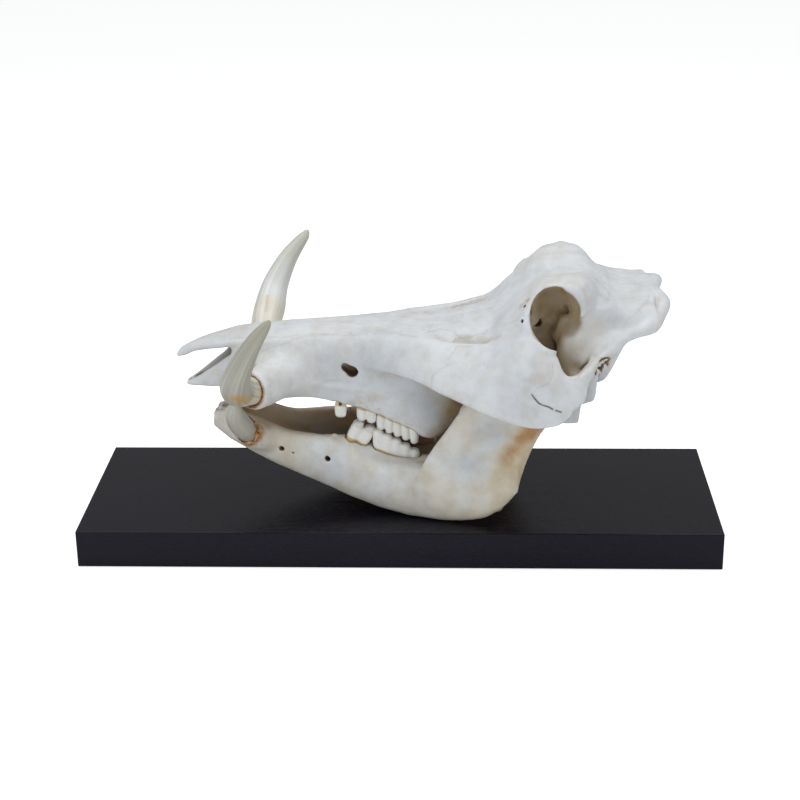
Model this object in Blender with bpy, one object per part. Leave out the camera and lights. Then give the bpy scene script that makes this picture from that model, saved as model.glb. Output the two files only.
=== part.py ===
"""Warthog skull on a display board.

An adult boar's skull, cleaned and bleached, stands on a black wooden board. The cranium and the
lower jaw are two bones. The four tusks and the ten cheek teeth that are left stand in sockets
cut in them. The nose points along -X, the back of the head along +X, and the origin is the
centre of the board's underside. Shapes are worked out in millimetres and built in metres.

Each bone is modelled as a field: the distance from its surface, on a regular grid. Lofts, tubes
and balls are blended into the field and cut out of it, as clay is added and carved, and
OpenVDB, the library behind Blender's Remesh modifier, then turns the field into a mesh. Only
one half of a bone is worked out, because the other half is its mirror image.
"""
import math

import bmesh
import bpy
import numpy as np
import openvdb
from mathutils import Euler, Vector

MM = 0.001

# Board
BOARD_LENGTH = 600.0
BOARD_DEPTH = 200.0
BOARD_HEIGHT = 36.0
BOARD_EDGE = 0.8

# Fits between pieces
SOCKET_GAP = 0.4

# Bone meshes
BONE_STEP = 2.5
CRANIUM_FACES = 4200
MANDIBLE_FACES = 2000
FAR = 60.0

# Colours
BONE_WHITE = (0.80, 0.81, 0.82, 1.0)
BONE_CREAM = (0.74, 0.70, 0.60, 1.0)
IVORY = (0.72, 0.68, 0.56, 1.0)
ENAMEL = (0.80, 0.79, 0.74, 1.0)
BLACK_WOOD = (0.012, 0.011, 0.014, 1.0)


# Smooth curves and blends

def curve(at, knots, values):
    """A smooth curve through the knots that never overshoots them, and is level past both ends."""
    at = np.clip(np.asarray(at, float), knots[0], knots[-1])
    gaps = np.diff(knots)
    slopes = np.diff(values) / gaps
    tangents = np.zeros(len(values))
    tangents[0] = slopes[0]
    tangents[-1] = slopes[-1]
    for i in range(1, len(values) - 1):
        before, after = slopes[i - 1], slopes[i]
        if before * after > 0:
            weight_before = 2 * gaps[i] + gaps[i - 1]
            weight_after = gaps[i] + 2 * gaps[i - 1]
            tangents[i] = (weight_before + weight_after) / (weight_before / before + weight_after / after)
    i = np.clip(np.searchsorted(knots, at, side="right") - 1, 0, len(gaps) - 1)
    t = (at - knots[i]) / gaps[i]
    return ((1 + 2 * t) * (1 - t) ** 2 * values[i] + t * (1 - t) ** 2 * gaps[i] * tangents[i]
            + t * t * (3 - 2 * t) * values[i + 1] + t * t * (t - 1) * gaps[i] * tangents[i + 1])


def smooth_path(points, spacing):
    """Closely spaced points on the smooth curve through the given (x, y, z, radius) points."""
    points = np.asarray(points, float)
    before = 2 * points[0] - points[1]
    after = 2 * points[-1] - points[-2]
    route = np.vstack([before, points, after])
    found = []
    for a, b, c, d in zip(route[:-3], route[1:-2], route[2:-1], route[3:]):
        count = max(1, math.ceil(np.linalg.norm(c[:3] - b[:3]) / spacing))
        t = np.arange(count)[:, None] / count
        found.append(0.5 * (2 * b + (c - a) * t + (2 * a - 5 * b + 4 * c - d) * t ** 2
                            + (3 * b - a - 3 * c + d) * t ** 3))
    return np.vstack(found + [points[-1:]])


def smooth_min(a, b, blend):
    """The smaller of two distances, with a fillet about as wide as blend where they meet."""
    h = np.clip(0.5 + 0.5 * (a - b) / blend, 0, 1)
    return a + (b - a) * h - blend * h * (1 - h)


# Shapes: each is its box, as two corners, and a function that gives the distance from its surface

def loft(stations, power=2.5, along="x"):
    """A body lofted through oval sections, squarer as the power rises. A station is (place, middle
    y, half width, low, high) with an optional lean, which is how far y moves for each unit of
    height. Low and high are heights on a loft along x, and places along x on one along z."""
    table = np.array([tuple(s) + (0.0,) * (6 - len(s)) for s in stations], float)
    table = table[np.argsort(table[:, 0])]
    place, middle, half, low, high, lean = table.T

    def distance(x, y, z):
        at, across = (x, z) if along == "x" else (z, x)
        mid_y, half_y, lo, hi, slope = [
            curve(at.ravel(), place, column).reshape(at.shape) for column in (middle, half, low, high, lean)]
        centre, reach = (lo + hi) / 2, (hi - lo) / 2
        u = np.abs(y - mid_y - slope * (across - centre)) / half_y
        v = np.abs(across - centre) / reach
        r = (u ** power + v ** power) ** (1 / power) + 1e-6
        steep_u = (u / r) ** (power - 1) / half_y
        steep_v = (v / r) ** (power - 1) / reach
        inside = (r - 1) / np.sqrt(steep_u ** 2 * (1 + slope ** 2) + steep_v ** 2 + 1e-9)
        past = np.maximum(np.maximum(place[0] - at, at - place[-1]), 0)
        return np.where(past > 0, np.hypot(np.maximum(inside, 0), past), inside)

    spread = half + np.abs(lean) * (high - low) / 2
    corners = [(place[0], (middle - spread).min(), low.min()),
               (place[-1], (middle + spread).max(), high.max())]
    if along == "z":
        corners = [corner[::-1] for corner in corners]
    return np.array(corners), distance


def tube(points, across=None, ratio=1.0):
    """A round body along a smooth path of (x, y, z, radius) points. Across is a direction in which
    the body is thinner by the ratio."""
    path = smooth_path(points, 5.0)
    radius = np.maximum(path[:, 3], 0.3)
    axis = np.array(across or (0, 0, 1), float)
    axis /= np.linalg.norm(axis)

    def stretched(x, y, z):
        shift = (ratio - 1) * (x * axis[0] + y * axis[1] + z * axis[2])
        return x + shift * axis[0], y + shift * axis[1], z + shift * axis[2]

    knots = np.array([stretched(*point) for point in path[:, :3]])

    def distance(x, y, z):
        x, y, z = stretched(*np.broadcast_arrays(x, y, z))
        nearest = np.full(x.shape, FAR)
        for a, b, r_a, r_b in zip(knots[:-1], knots[1:], radius[:-1], radius[1:]):
            run = b - a
            t = ((x - a[0]) * run[0] + (y - a[1]) * run[1] + (z - a[2]) * run[2]) / (run @ run + 1e-9)
            t = np.clip(t, 0, 1)
            gap = (x - a[0] - t * run[0]) ** 2 + (y - a[1] - t * run[1]) ** 2 + (z - a[2] - t * run[2]) ** 2
            nearest = np.minimum(nearest, np.sqrt(gap) - (r_a + (r_b - r_a) * t))
        return nearest / math.sqrt(ratio)

    reach = radius.max()
    return np.array([path[:, :3].min(0) - reach, path[:, :3].max(0) + reach]), distance


def ball(centre, radii, turn=(0, 0, 0)):
    """An ellipsoid, turned by angles in degrees about x, y and z."""
    frame = np.array(Euler([math.radians(angle) for angle in turn]).to_matrix())
    radii = np.array(radii, float)

    def distance(x, y, z):
        offset = (x - centre[0], y - centre[1], z - centre[2])
        own = [sum(offset[i] * frame[i, k] for i in range(3)) for k in range(3)]
        near = np.sqrt(sum((u / r) ** 2 for u, r in zip(own, radii))) + 1e-6
        steep = np.sqrt(sum((u / r ** 2) ** 2 for u, r in zip(own, radii))) + 1e-9
        return near * (near - 1) / steep

    reach = np.sqrt(((frame * radii) ** 2).sum(1))
    return np.array([np.array(centre) - reach, np.array(centre) + reach]), distance


class Clay:
    """The half of a bone at y = 0 and above, as a grid of distances that are negative inside it."""

    def __init__(self, low, high, step):
        self.step = step
        self.axes = [np.arange(a, b + step, step) for a, b in zip(low, high)]
        self.values = np.full([len(axis) for axis in self.axes], FAR)

    def reach(self, corners, margin):
        """The part of the grid near a shape, as slices, and its coordinates."""
        spans = [slice(*np.searchsorted(axis, (low - margin, high + margin)))
                 for axis, low, high in zip(self.axes, *corners)]
        x, y, z = [axis[span] for axis, span in zip(self.axes, spans)]
        return tuple(spans), (x[:, None, None], y[None, :, None], z[None, None, :])

    def add(self, shape, blend=5.0):
        corners, distance = shape
        where, coordinates = self.reach(corners, blend + 3 * self.step)
        self.values[where] = smooth_min(self.values[where], distance(*coordinates), blend)

    def cut(self, shape, blend=2.0):
        corners, distance = shape
        where, coordinates = self.reach(corners, blend + 3 * self.step)
        self.values[where] = -smooth_min(-self.values[where], distance(*coordinates), blend)

    def mesh(self, name):
        """The bone's surface, both halves, in metres."""
        band = 3 * self.step
        half = np.clip(self.values, -band, band)
        whole = np.concatenate([half[:, :0:-1, :], half], axis=1).astype(np.float32)
        grid = openvdb.FloatGrid(band)
        grid.copyFromArray(whole)
        points, _, quads = grid.convertToPolygons(isovalue=0.0, adaptivity=0.0)
        corner = np.array([self.axes[0][0], -self.axes[1][-1], self.axes[2][0]])
        mesh = bpy.data.meshes.new(name)
        mesh.from_pydata(((points * self.step + corner) * MM).tolist(), [], quads.tolist())
        return mesh


# The cranium

def snout_and_braincase(bone):
    """The long box of the snout, which widens into the braincase behind the eyes."""
    bone.add(loft([(-156, 0, 24, 152, 196), (-140, 0, 28, 149, 199), (-120, 0, 31, 146, 202),
                   (-95, 0, 32, 146, 206.5), (-60, 0, 34, 148, 208.5), (-25, 0, 37, 147, 208.5),
                   (10, 0, 41, 144, 209.5), (45, 0, 45, 141, 213), (80, 0, 44, 142, 222),
                   (120, 0, 40, 146, 238), (160, 0, 38, 148, 247), (190, 0, 40, 154, 247.5),
                   (212, 0, 40, 196, 245), (232, 0, 42, 222, 244)], power=2.9), 6)


def nasal_bones(bone):
    """The roof of the nose, drawn out to a point over the nostrils."""
    bone.add(loft([(-216, 0, 2, 171, 173.5), (-211, 0, 4, 172.5, 179), (-205, 0, 6.5, 174.5, 184), (-192, 0, 12, 181, 189.5),
                   (-172, 0, 19, 185, 195.5), (-150, 0, 24, 188, 200.5), (-120, 0, 28, 188, 203),
                   (-100, 0, 28, 188, 204)], power=2.4), 4)


def premaxillae(bone):
    """The two upright blades under the nose and the floor between them."""
    bone.add(loft([(-203, 3, 1.8, 145.5, 149.5), (-193, 6.5, 2.2, 146, 155.5), (-180, 10.5, 2.6, 147, 165),
                   (-166, 14.5, 3.2, 148, 175.5), (-156, 19, 4, 148, 184), (-142, 26, 5, 146, 197)],
                  power=2.4), 3)
    bone.add(loft([(-198, 0, 5, 146, 149.5), (-180, 0, 10, 147, 152), (-165, 0, 15, 148, 155), (-140, 0, 26, 146, 158)]), 3)
    bone.cut(loft([(-222, 0, 3, 152, 176), (-190, 0, 5, 152.5, 183), (-180, 0, 7.8, 154, 185), (-165, 0, 11.5, 157, 188),
                   (-140, 0, 21, 158, 194), (-105, 0, 16, 160, 192), (-60, 0, 7, 168, 184)], power=2.3), 2)


def tusk_sockets(bone):
    """The flare that carries the upper tusk out sideways from the snout."""
    bone.add(tube([(-80, 18, 170, 16), (-104, 32, 166, 18), (-122, 46, 162, 18.5),
                   (-131, 57, 161, 18)]), 16)


def tooth_ridges(bone):
    """The ridge that holds the upper cheek teeth, with a lump behind the last one."""
    bone.add(loft([(-104, 28, 3, 148, 157), (-78, 32, 5, 144, 158), (-60, 34, 7, 141, 160),
                   (-40, 36, 10, 137, 165), (-20, 37, 11.5, 130, 168), (0, 38, 12, 121, 168),
                   (12, 38, 12, 115, 167), (22, 38, 11.5, 108, 166), (31, 37, 11, 106, 164),
                   (40, 36, 10, 110, 162), (49, 34, 8, 119, 160), (56, 32, 5, 129, 156)], power=2.6), 9)


def cheekbones(bone):
    """The deep flaring plate under the eye, and the arch that runs back from it to the ear."""
    bone.add(loft([(-68, 29, 4, 187, 199, -0.2), (-45, 32, 7, 182, 203, -0.3), (-18, 39, 9, 177, 205, -0.5),
                   (12, 52, 10, 175, 208, -0.75), (45, 74, 11, 169, 207, -0.95),
                   (80, 93, 11, 161, 211, -0.85), (108, 105, 11, 155, 225, -0.6),
                   (128, 111, 10, 152, 217, -0.45), (142, 111, 8.5, 153, 210, -0.4),
                   (149, 111, 7.5, 155, 198, -0.35), (155, 109, 6, 159, 191, -0.3)], power=2.4), 10)
    bone.add(loft([(-72, 28, 6, 152, 190), (-42, 32, 8.5, 152, 190), (-15, 35, 10, 152, 188),
                   (4, 37, 9, 150, 184), (24, 38, 6, 150, 178)]), 8)
    bone.add(loft([(-10, 32, 10, 180, 203, -0.5), (20, 38, 16, 178, 206, -0.6),
                   (50, 47, 22, 178, 203, -0.6), (80, 56, 26, 182, 209, -0.6),
                   (108, 64, 26, 192, 228, -0.5)], power=2.4), 8)
    bone.add(tube([(120, 112, 170, 8), (142, 111, 170, 11), (153, 107, 177, 12), (162, 101, 187.5, 9.5),
                   (172, 94, 198, 7.5), (184, 87, 207.5, 6), (197, 80, 216, 5.5)], across=(0, 1, 0),
                  ratio=1.3), 6)
    bone.add(tube([(157, 104, 174, 10), (162, 84, 178, 9.5), (165, 60, 180, 11), (168, 45, 182, 13)]), 8)


def forehead(bone):
    """The broad brow, dished between raised rims, with the eye sockets' upper edges at its sides."""
    bone.add(loft([(56, 0, 40, 190, 210), (84, 0, 58, 196, 213), (92, 0, 66, 200, 223),
                   (98, 0, 70, 203, 231), (104, 0, 71, 206, 237), (115, 0, 73, 212, 247),
                   (126, 0, 75, 220, 259.5), (138, 0, 76, 230, 267.5), (154, 0, 75, 238, 269.5),
                   (166, 0, 70, 241, 269), (175, 0, 60, 243, 264.5), (183, 0, 50, 239, 256), (191, 0, 46, 238, 250)], power=3.6), 10)
    bone.add(tube([(121, 86, 214, 9), (117, 81, 226, 9), (119, 75, 237, 7), (128, 70, 247, 6)]), 8)
    bone.add(tube([(128, 94, 218, 7.5), (142, 97, 218.5, 5.5), (152.5, 97, 223, 2.4)]), 6)
    bone.cut(ball((146, 0, 304), (90, 54, 46)), 14)
    bone.cut(ball((60, 0, 286), (80, 40, 62)), 14)


def parietal_shelf(bone):
    """The back of the skull roof, whose sides slope out to the nuchal crest."""
    bone.add(loft([(168, 22, 18, 198, 249, -0.1), (185, 30, 22, 206, 250, -0.4),
                   (198, 37, 26, 213, 246, -0.6), (210, 36, 28, 219, 244.5, -0.6),
                   (222, 34, 30, 224, 244, -0.55), (232, 30, 32, 230, 243.5, -0.4)], power=3.0), 7)
    bone.add(tube([(235, 0, 239, 6), (239, 20, 239, 6.5), (241.5, 37, 237, 6.5), (236, 54, 232, 6),
                   (229, 66, 226, 6.5), (216, 71, 222, 5), (204, 74, 218, 5), (193, 79, 211, 5)]), 6)
    bone.add(tube([(178, 68, 206, 8), (194, 66, 216, 9), (210, 60, 227, 9)]), 6)
    bone.add(tube([(160, 51, 241, 15), (173, 53, 237, 15), (190, 54, 232, 14), (206, 52, 231, 12)]), 8)


def skull_base(bone):
    """The wall under the crest, the two knuckles for the neck, and the bones under the braincase."""
    bone.add(loft([(138, 0, 34, 162, 176), (158, 0, 40, 160, 190), (174, 0, 44, 168, 208),
                   (186, 0, 45, 192, 220), (204, 0, 46, 214, 232), (228, 0, 46, 230, 240)], power=2.8), 6)
    bone.add(loft([(172, 56, 19, 154, 172), (186, 56, 19, 147, 180), (200, 56, 19, 145, 185),
                   (214, 55, 19, 148, 190), (228, 53, 18, 156, 197), (242, 47, 20, 165, 194)], power=3.0, along="z"), 6)
    bone.add(ball((171, 15, 157), (9, 11, 13), (0, 25, 0)), 5)
    bone.add(loft([(55, 0, 20, 146, 158), (110, 0, 17, 141, 158), (150, 0, 18, 142, 164),
                   (172, 0, 20, 150, 176)]), 6)
    bone.cut(tube([(195, 0, 150, 9), (176, 0, 166, 9), (160, 0, 182, 9)]), 3)
    bone.add(loft([(126, 48, 3.4, 151, 167), (143, 47, 4.2, 152, 169.5), (147, 46, 4.6, 154, 180.5),
                   (166, 43, 7, 160, 184), (184, 40, 10, 164, 187)], along="z"), 5)
    bone.add(loft([(112, 25, 2.6, 52, 60), (128, 26, 3.2, 50, 72), (150, 26, 5, 46, 92)], along="z"), 6)


def eye_and_temple_openings(bone):
    """The eye socket, the temple's opening and the spur between them, and the small hole in front
    of the cheek."""
    bone.cut(ball((143, 78, 238), (24.5, 46, 26)), 2.5)
    bone.cut(tube([(132, 62, 222, 13), (132, 67, 212, 12), (134, 75, 200, 10.5), (139, 80, 184, 11.5),
                   (146, 82, 166, 14.5), (148, 84, 150, 18)]), 4)
    bone.cut(tube([(157, 98, 203, 11.5), (172, 93, 216, 12), (184, 89, 225.5, 12.5), (198, 86, 234, 13),
                   (214, 90, 244, 14)]), 5)
    bone.cut(tube([(172, 86, 228, 9), (184, 85, 234, 11), (198, 88, 242, 13.5), (212, 96, 250, 15)]), 8)
    bone.add(tube([(154, 67, 262.5, 4), (159.5, 68, 260, 4.5), (164, 69.5, 255.5, 4.4), (166.5, 71, 249.5, 3.6),
                   (166.5, 72, 244, 2.6), (165.5, 73, 238.5, 1.4)]), 4)
    bone.add(tube([(170, 64, 253, 5), (171, 65, 244, 5.5), (169, 65, 235, 5)]), 4)
    bone.add(tube([(170, 77, 195, 7), (181, 78, 206, 7.5), (194, 74, 215, 7)]), 6)
    bone.add(tube([(158, 41, 240, 6), (152, 43, 226, 6.5), (147, 47, 211, 7)]), 8)
    bone.cut(tube([(-48, 50, 174, 5), (-42, 38, 173, 5.5), (-30, 26, 172, 5.5), (-12, 18, 171, 4)]), 1.5)


def cranium_clay(step):
    bone = Clay((-224, 0, 96), (264, 140, 288), step)
    snout_and_braincase(bone)
    nasal_bones(bone)
    premaxillae(bone)
    tooth_ridges(bone)
    tusk_sockets(bone)
    cheekbones(bone)
    forehead(bone)
    parietal_shelf(bone)
    skull_base(bone)
    eye_and_temple_openings(bone)
    return bone


# The lower jaw

def jaw_bodies(bone):
    """The two long bodies, which meet at the chin and spread towards the back."""
    bone.add(loft([(-178, 7, 8, 106, 117), (-170, 10, 11, 101, 123), (-162, 13, 14, 96, 126),
                   (-145, 18, 15, 87.5, 121), (-125, 22, 12, 77, 115), (-100, 28, 10, 67, 108),
                   (-70, 36, 11, 57, 107), (-45, 42, 13, 48, 100), (-15, 50, 14, 40, 89),
                   (15, 58, 13, 36.5, 87, -0.1), (45, 66, 10.5, 36.5, 95, -0.15),
                   (75, 71, 8.5, 40, 104, -0.15), (98, 74, 7, 54, 106, -0.1), (110, 75, 5, 68, 104, -0.1)],
                  power=2.5), 6)
    bone.add(loft([(-171, 0, 14, 103, 119), (-150, 0, 20, 90, 112), (-125, 0, 22, 80, 100),
                   (-105, 0, 20, 73, 87)]), 6)
    bone.add(loft([(-68, 34, 5, 86, 106), (-52, 35, 8, 84, 107), (-45, 36, 9, 84, 104),
                   (-33, 37, 10, 80, 100), (-20, 38, 10.5, 76, 97), (-8, 39, 10.5, 70, 92),
                   (6, 40, 10.5, 66, 89.5), (18, 41, 10, 66, 89), (32, 44, 8, 66, 90)], power=2.8), 5)


def jaw_branches(bone):
    """The upright plates at the back, each with its hinge knuckle and the blade in front of it."""
    bone.add(loft([(44, 66, 5, 36, 96), (58, 68, 7, 25, 103), (72, 69, 8.5, 17, 108), (86, 70, 8, 20, 115), (100, 71, 7.5, 27, 120),
                   (115, 73, 7, 36, 126), (130, 75, 6.5, 46, 134), (146, 77, 6, 56, 146),
                   (157, 79, 6, 66, 155)], along="z"), 10)
    bone.add(ball((154, 82, 158), (9, 17, 6), (0, -15, 0)), 5)
    bone.add(loft([(150, 76, 5, 58, 84), (168, 76, 4, 68, 88), (180, 75, 3, 76, 90)], along="z"), 6)


def lower_tusk_sockets(bone):
    bone.add(tube([(-128, 29, 101, 11.5), (-137, 37, 107, 12), (-143.5, 44, 116, 11.8),
                   (-148, 49.5, 123.5, 11.5)]), 6)


def mandible_clay(step):
    bone = Clay((-186, 0, 28), (172, 102, 188), step)
    jaw_bodies(bone)
    jaw_branches(bone)
    lower_tusk_sockets(bone)
    return bone


# Tusks: points are (x, y, z, radius) from the root to the tip, on the animal's right side

UPPER_TUSK_LEFT = [(-120, 38, 162, 13), (-136, 62, 162, 14.5), (-141.5, 90, 173, 15),
                   (-141.5, 112, 186, 14.3), (-137, 128, 203, 11.8), (-127.5, 138, 224, 9.3),
                   (-117.5, 142, 241, 7), (-109.5, 143, 252, 4.6), (-106, 143, 256.5, 2.4)]
UPPER_TUSK_RIGHT = [(-118, 38, 162, 13), (-134, 62, 162, 14.5), (-137, 90, 172, 14.8),
                    (-134.5, 112, 185, 15.5), (-130, 128, 203, 13.2), (-118.5, 138, 226, 9.8),
                    (-107, 141, 242, 7), (-100, 142, 250.5, 5), (-97.5, 142, 255, 2.8)]
LOWER_TUSK = [(-136, 36, 106, 9), (-143, 44, 115, 10.5), (-149, 51, 126, 10.5), (-151.5, 57, 137, 8.8),
              (-150, 61, 146, 5.8), (-149, 62, 151, 2.2)]


def tusk_mesh(name, points, side, sides, spacing, grow=0.0):
    """A round horn along a smooth path, closed at the root and the tip."""
    path = smooth_path(points, spacing)
    path[:, 1] *= side
    centres = path[:, :3]
    radii = path[:, 3] + grow
    runs = np.gradient(centres, axis=0)
    runs /= np.linalg.norm(runs, axis=1)[:, None]
    mesh = bmesh.new()
    rings = []
    first = Vector((0, 0, 1))
    for centre, radius, run in zip(centres, radii, runs):
        run = Vector(run)
        first = (first - run * first.dot(run)).normalized()
        second = run.cross(first)
        ring = []
        for k in range(sides):
            angle = 2 * math.pi * k / sides
            spot = Vector(centre) + (first * math.cos(angle) + second * math.sin(angle)) * radius
            ring.append(mesh.verts.new(spot * MM))
        rings.append(ring)
    for lower, upper in zip(rings[:-1], rings[1:]):
        for k in range(sides):
            mesh.faces.new((lower[k], lower[k - 1], upper[k - 1], upper[k]))
    root = mesh.verts.new(Vector(centres[0] - runs[0] * (3 + grow)) * MM)
    tip = mesh.verts.new(Vector(centres[-1] + runs[-1] * (radii[-1] * 0.6)) * MM)
    for k in range(sides):
        mesh.faces.new((root, rings[0][k - 1], rings[0][k]))
        mesh.faces.new((tip, rings[-1][k], rings[-1][k - 1]))
    return finished(name, mesh)


def finished(name, mesh):
    """Turns a bmesh into mesh data with its faces pointing out."""
    bmesh.ops.recalc_face_normals(mesh, faces=mesh.faces)
    data = bpy.data.meshes.new(name)
    mesh.to_mesh(data)
    mesh.free()
    return data


# Cheek teeth: the row runs back along x, and each tooth is a row of lobes

UPPER_TEETH = {
    "premolar": dict(x=-54.5, y=36, z=137, length=10.5, width=9, crown=8.5, root=8,
                     fall=0.12, lean=0, taper=0, lobes=1),
    "middle_molar": dict(x=-30.2, y=37, z=133.5, length=18, width=13, crown=9.5, root=8,
                         fall=0.24, lean=0, taper=0, lobes=2),
    "rear_molar": dict(x=-1.2, y=38, z=121, length=38.8, width=13, crown=11, root=9,
                       fall=0.45, lean=0, taper=0, lobes=5),
}
LOWER_TEETH = {
    "middle_molar": dict(x=-38.8, y=36, z=104.5, length=21, width=12, crown=12.5, root=8,
                         fall=0.5, lean=0.5, taper=0, lobes=2),
    "rear_molar": dict(x=-2.6, y=39, z=91.5, length=43, width=12, crown=15, root=9,
                       fall=0.4, lean=0, taper=0.45, lobes=5),
}


def tooth_outline(length, width, lobes, grow):
    """The tooth seen from its crown: two scalloped sides with rounded ends. Its socket, which grow
    makes larger all round, has straight sides."""
    pitch = length / lobes
    groove = min(1.2, 0.12 * pitch)
    end = length / 2 + grow
    half = width / 2 + grow
    right = [(-end, 0.62 * half), (-end + 0.28 * pitch, half)]
    if not grow:
        for lobe in range(1, lobes):
            start = lobe * pitch - end
            right += [(start - 0.28 * pitch, half), (start, half - groove), (start + 0.28 * pitch, half)]
    right += [(end - 0.28 * pitch, half), (end, 0.62 * half)]
    return right + [(x, -y) for x, y in reversed(right)]


def tooth_mesh(name, tooth, up, side, grow=0.0):
    """A tooth about its own neck: crown towards up, root the other way. Its row falls towards the
    back of the jaw, the tooth leans back as it comes out of the bone, and its crown is worn lower
    at the back by the taper."""
    outline = tooth_outline(tooth["length"], tooth["width"], tooth["lobes"], grow)
    levels = [(-tooth["root"] - grow, 0.92), (0.35 * tooth["crown"], 1.0), (tooth["crown"] + grow, 0.92)]
    place = Vector((tooth["x"], tooth["y"] * side, tooth["z"]))
    mesh = bmesh.new()
    rings = []
    for height, spread in levels:
        if grow:
            spread = 1.0
        ring = []
        for x, y in outline:
            worn = max(height, 0) * tooth["taper"] * (0.5 + x / tooth["length"])
            corner = Vector((x * spread, y * spread, (height - worn) * up - x * spread * tooth["fall"]))
            corner.x += tooth["lean"] * height
            ring.append(mesh.verts.new((place + corner) * MM))
        rings.append(ring)
    count = len(outline)
    for lower, upper in zip(rings[:-1], rings[1:]):
        for k in range(count):
            mesh.faces.new((lower[k - 1], lower[k], upper[k], upper[k - 1]))
    mesh.faces.new(rings[0])
    mesh.faces.new(rings[-1])
    return finished(name, mesh)


# Assembly

def material(name, colour, roughness):
    made = bpy.data.materials.new(name)
    made.use_nodes = True
    shader = made.node_tree.nodes["Principled BSDF"]
    shader.inputs["Base Color"].default_value = colour
    shader.inputs["Roughness"].default_value = roughness
    shader.inputs["Metallic"].default_value = 0.0
    return made


def piece(name, mesh, look):
    made = bpy.data.objects.new(name, mesh)
    bpy.context.scene.collection.objects.link(made)
    if look:
        mesh.materials.append(look)
        mesh.shade_smooth()
        mesh.set_sharp_from_angle(angle=math.radians(40))
    return made


def thinned(bone, faces):
    """A Decimate modifier that leaves about the given number of triangles."""
    modifier = bone.modifiers.new("Thin out", "DECIMATE")
    modifier.ratio = faces / (2 * len(bone.data.polygons))


def socket(bone, mesh):
    """Cuts a hidden copy of a tooth or tusk, a little larger than the real one, out of the bone."""
    cutter = piece(mesh.name, mesh, None)
    cutter.hide_render = True
    cutter.display_type = "WIRE"
    modifier = bone.modifiers.new("Socket", "BOOLEAN")
    modifier.operation = "DIFFERENCE"
    modifier.solver = "EXACT"
    modifier.object = cutter


def display_board(look):
    mesh = bmesh.new()
    bmesh.ops.create_cube(mesh, size=1.0)
    bmesh.ops.scale(mesh, vec=(BOARD_LENGTH * MM, BOARD_DEPTH * MM, BOARD_HEIGHT * MM), verts=mesh.verts)
    board = piece("display_board", finished("display_board", mesh), look)
    board.location.z = BOARD_HEIGHT * MM / 2
    bevel = board.modifiers.new("Softened edges", "BEVEL")
    bevel.width = BOARD_EDGE * MM
    bevel.segments = 2
    return board


def main():
    for old in list(bpy.data.objects):
        bpy.data.objects.remove(old)
    white_bone = material("white_bone", BONE_WHITE, 0.6)
    cream_bone = material("cream_bone", BONE_CREAM, 0.6)
    ivory = material("ivory", IVORY, 0.4)
    enamel = material("enamel", ENAMEL, 0.35)
    wood = material("black_wood", BLACK_WOOD, 0.4)

    display_board(wood)
    cranium = piece("cranium", cranium_clay(BONE_STEP).mesh("cranium"), white_bone)
    mandible = piece("mandible", mandible_clay(BONE_STEP).mesh("mandible"), cream_bone)
    thinned(cranium, CRANIUM_FACES)
    thinned(mandible, MANDIBLE_FACES)

    for side, word in ((-1, "left"), (1, "right")):
        upper = UPPER_TUSK_LEFT if side < 0 else UPPER_TUSK_RIGHT
        name = "upper_tusk_" + word
        piece(name, tusk_mesh(name, upper, side, 11, 20.0), ivory)
        socket(cranium, tusk_mesh(name + "_socket", upper, side, 11, 20.0, SOCKET_GAP))
        name = "lower_tusk_" + word
        piece(name, tusk_mesh(name, LOWER_TUSK, side, 10, 10.0), ivory)
        socket(mandible, tusk_mesh(name + "_socket", LOWER_TUSK, side, 10, 10.0, SOCKET_GAP))
        rows = (("upper_", UPPER_TEETH, cranium, -1), ("lower_", LOWER_TEETH, mandible, 1))
        for row, teeth, bone, up in rows:
            for kind, tooth in teeth.items():
                name = row + kind + "_" + word
                piece(name, tooth_mesh(name, tooth, up, side), enamel)
                socket(bone, tooth_mesh(name + "_socket", tooth, up, side, SOCKET_GAP))


main()
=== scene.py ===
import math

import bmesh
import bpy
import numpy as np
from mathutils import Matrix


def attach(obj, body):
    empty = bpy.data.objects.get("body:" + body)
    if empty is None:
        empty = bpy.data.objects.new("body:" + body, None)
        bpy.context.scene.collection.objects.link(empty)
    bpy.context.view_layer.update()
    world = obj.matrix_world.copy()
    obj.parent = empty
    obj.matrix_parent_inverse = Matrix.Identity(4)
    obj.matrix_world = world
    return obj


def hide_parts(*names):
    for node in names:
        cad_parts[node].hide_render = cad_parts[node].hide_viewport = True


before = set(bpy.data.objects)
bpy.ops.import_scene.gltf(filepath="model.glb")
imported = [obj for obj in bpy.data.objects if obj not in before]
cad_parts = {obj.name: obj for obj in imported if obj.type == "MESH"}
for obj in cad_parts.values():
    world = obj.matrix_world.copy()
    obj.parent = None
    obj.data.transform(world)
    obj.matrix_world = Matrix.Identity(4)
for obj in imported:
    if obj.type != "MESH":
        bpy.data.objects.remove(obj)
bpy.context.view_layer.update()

# %% [markdown]
# # A warthog's skull on a black board
#
# The real object is a cleaned and bleached skull: two bones, the cranium and the lower jaw, with
# four tusks and ten cheek teeth in their sockets, standing on a board of blackened wood. The
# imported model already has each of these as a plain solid. This lesson makes the pieces that are
# seen: the same bones at a finer grain, with their seams, holes, pits and stains.

import openvdb
from mathutils import Euler, Vector, noise
from mathutils.bvhtree import BVHTree
from mathutils.kdtree import KDTree

MM = 0.001
SEED = 7

# %% [markdown]
# ## Camera, light and floor
#
# The photograph is a studio shot with a longish lens from a little above the left side of the
# skull. A big soft light hangs overhead, so that the brow and the nose are the brightest and the
# side walls fall to a cool grey. A second one at the front left keeps the jaw readable, and a
# pale floor sends light back up under the cheekbone. The background has to be white in the
# picture, yet too much light from it would flatten the skull. The Light Path node tells the two
# apart: world and floor are bright to the camera and dimmer to everything they light.

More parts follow.
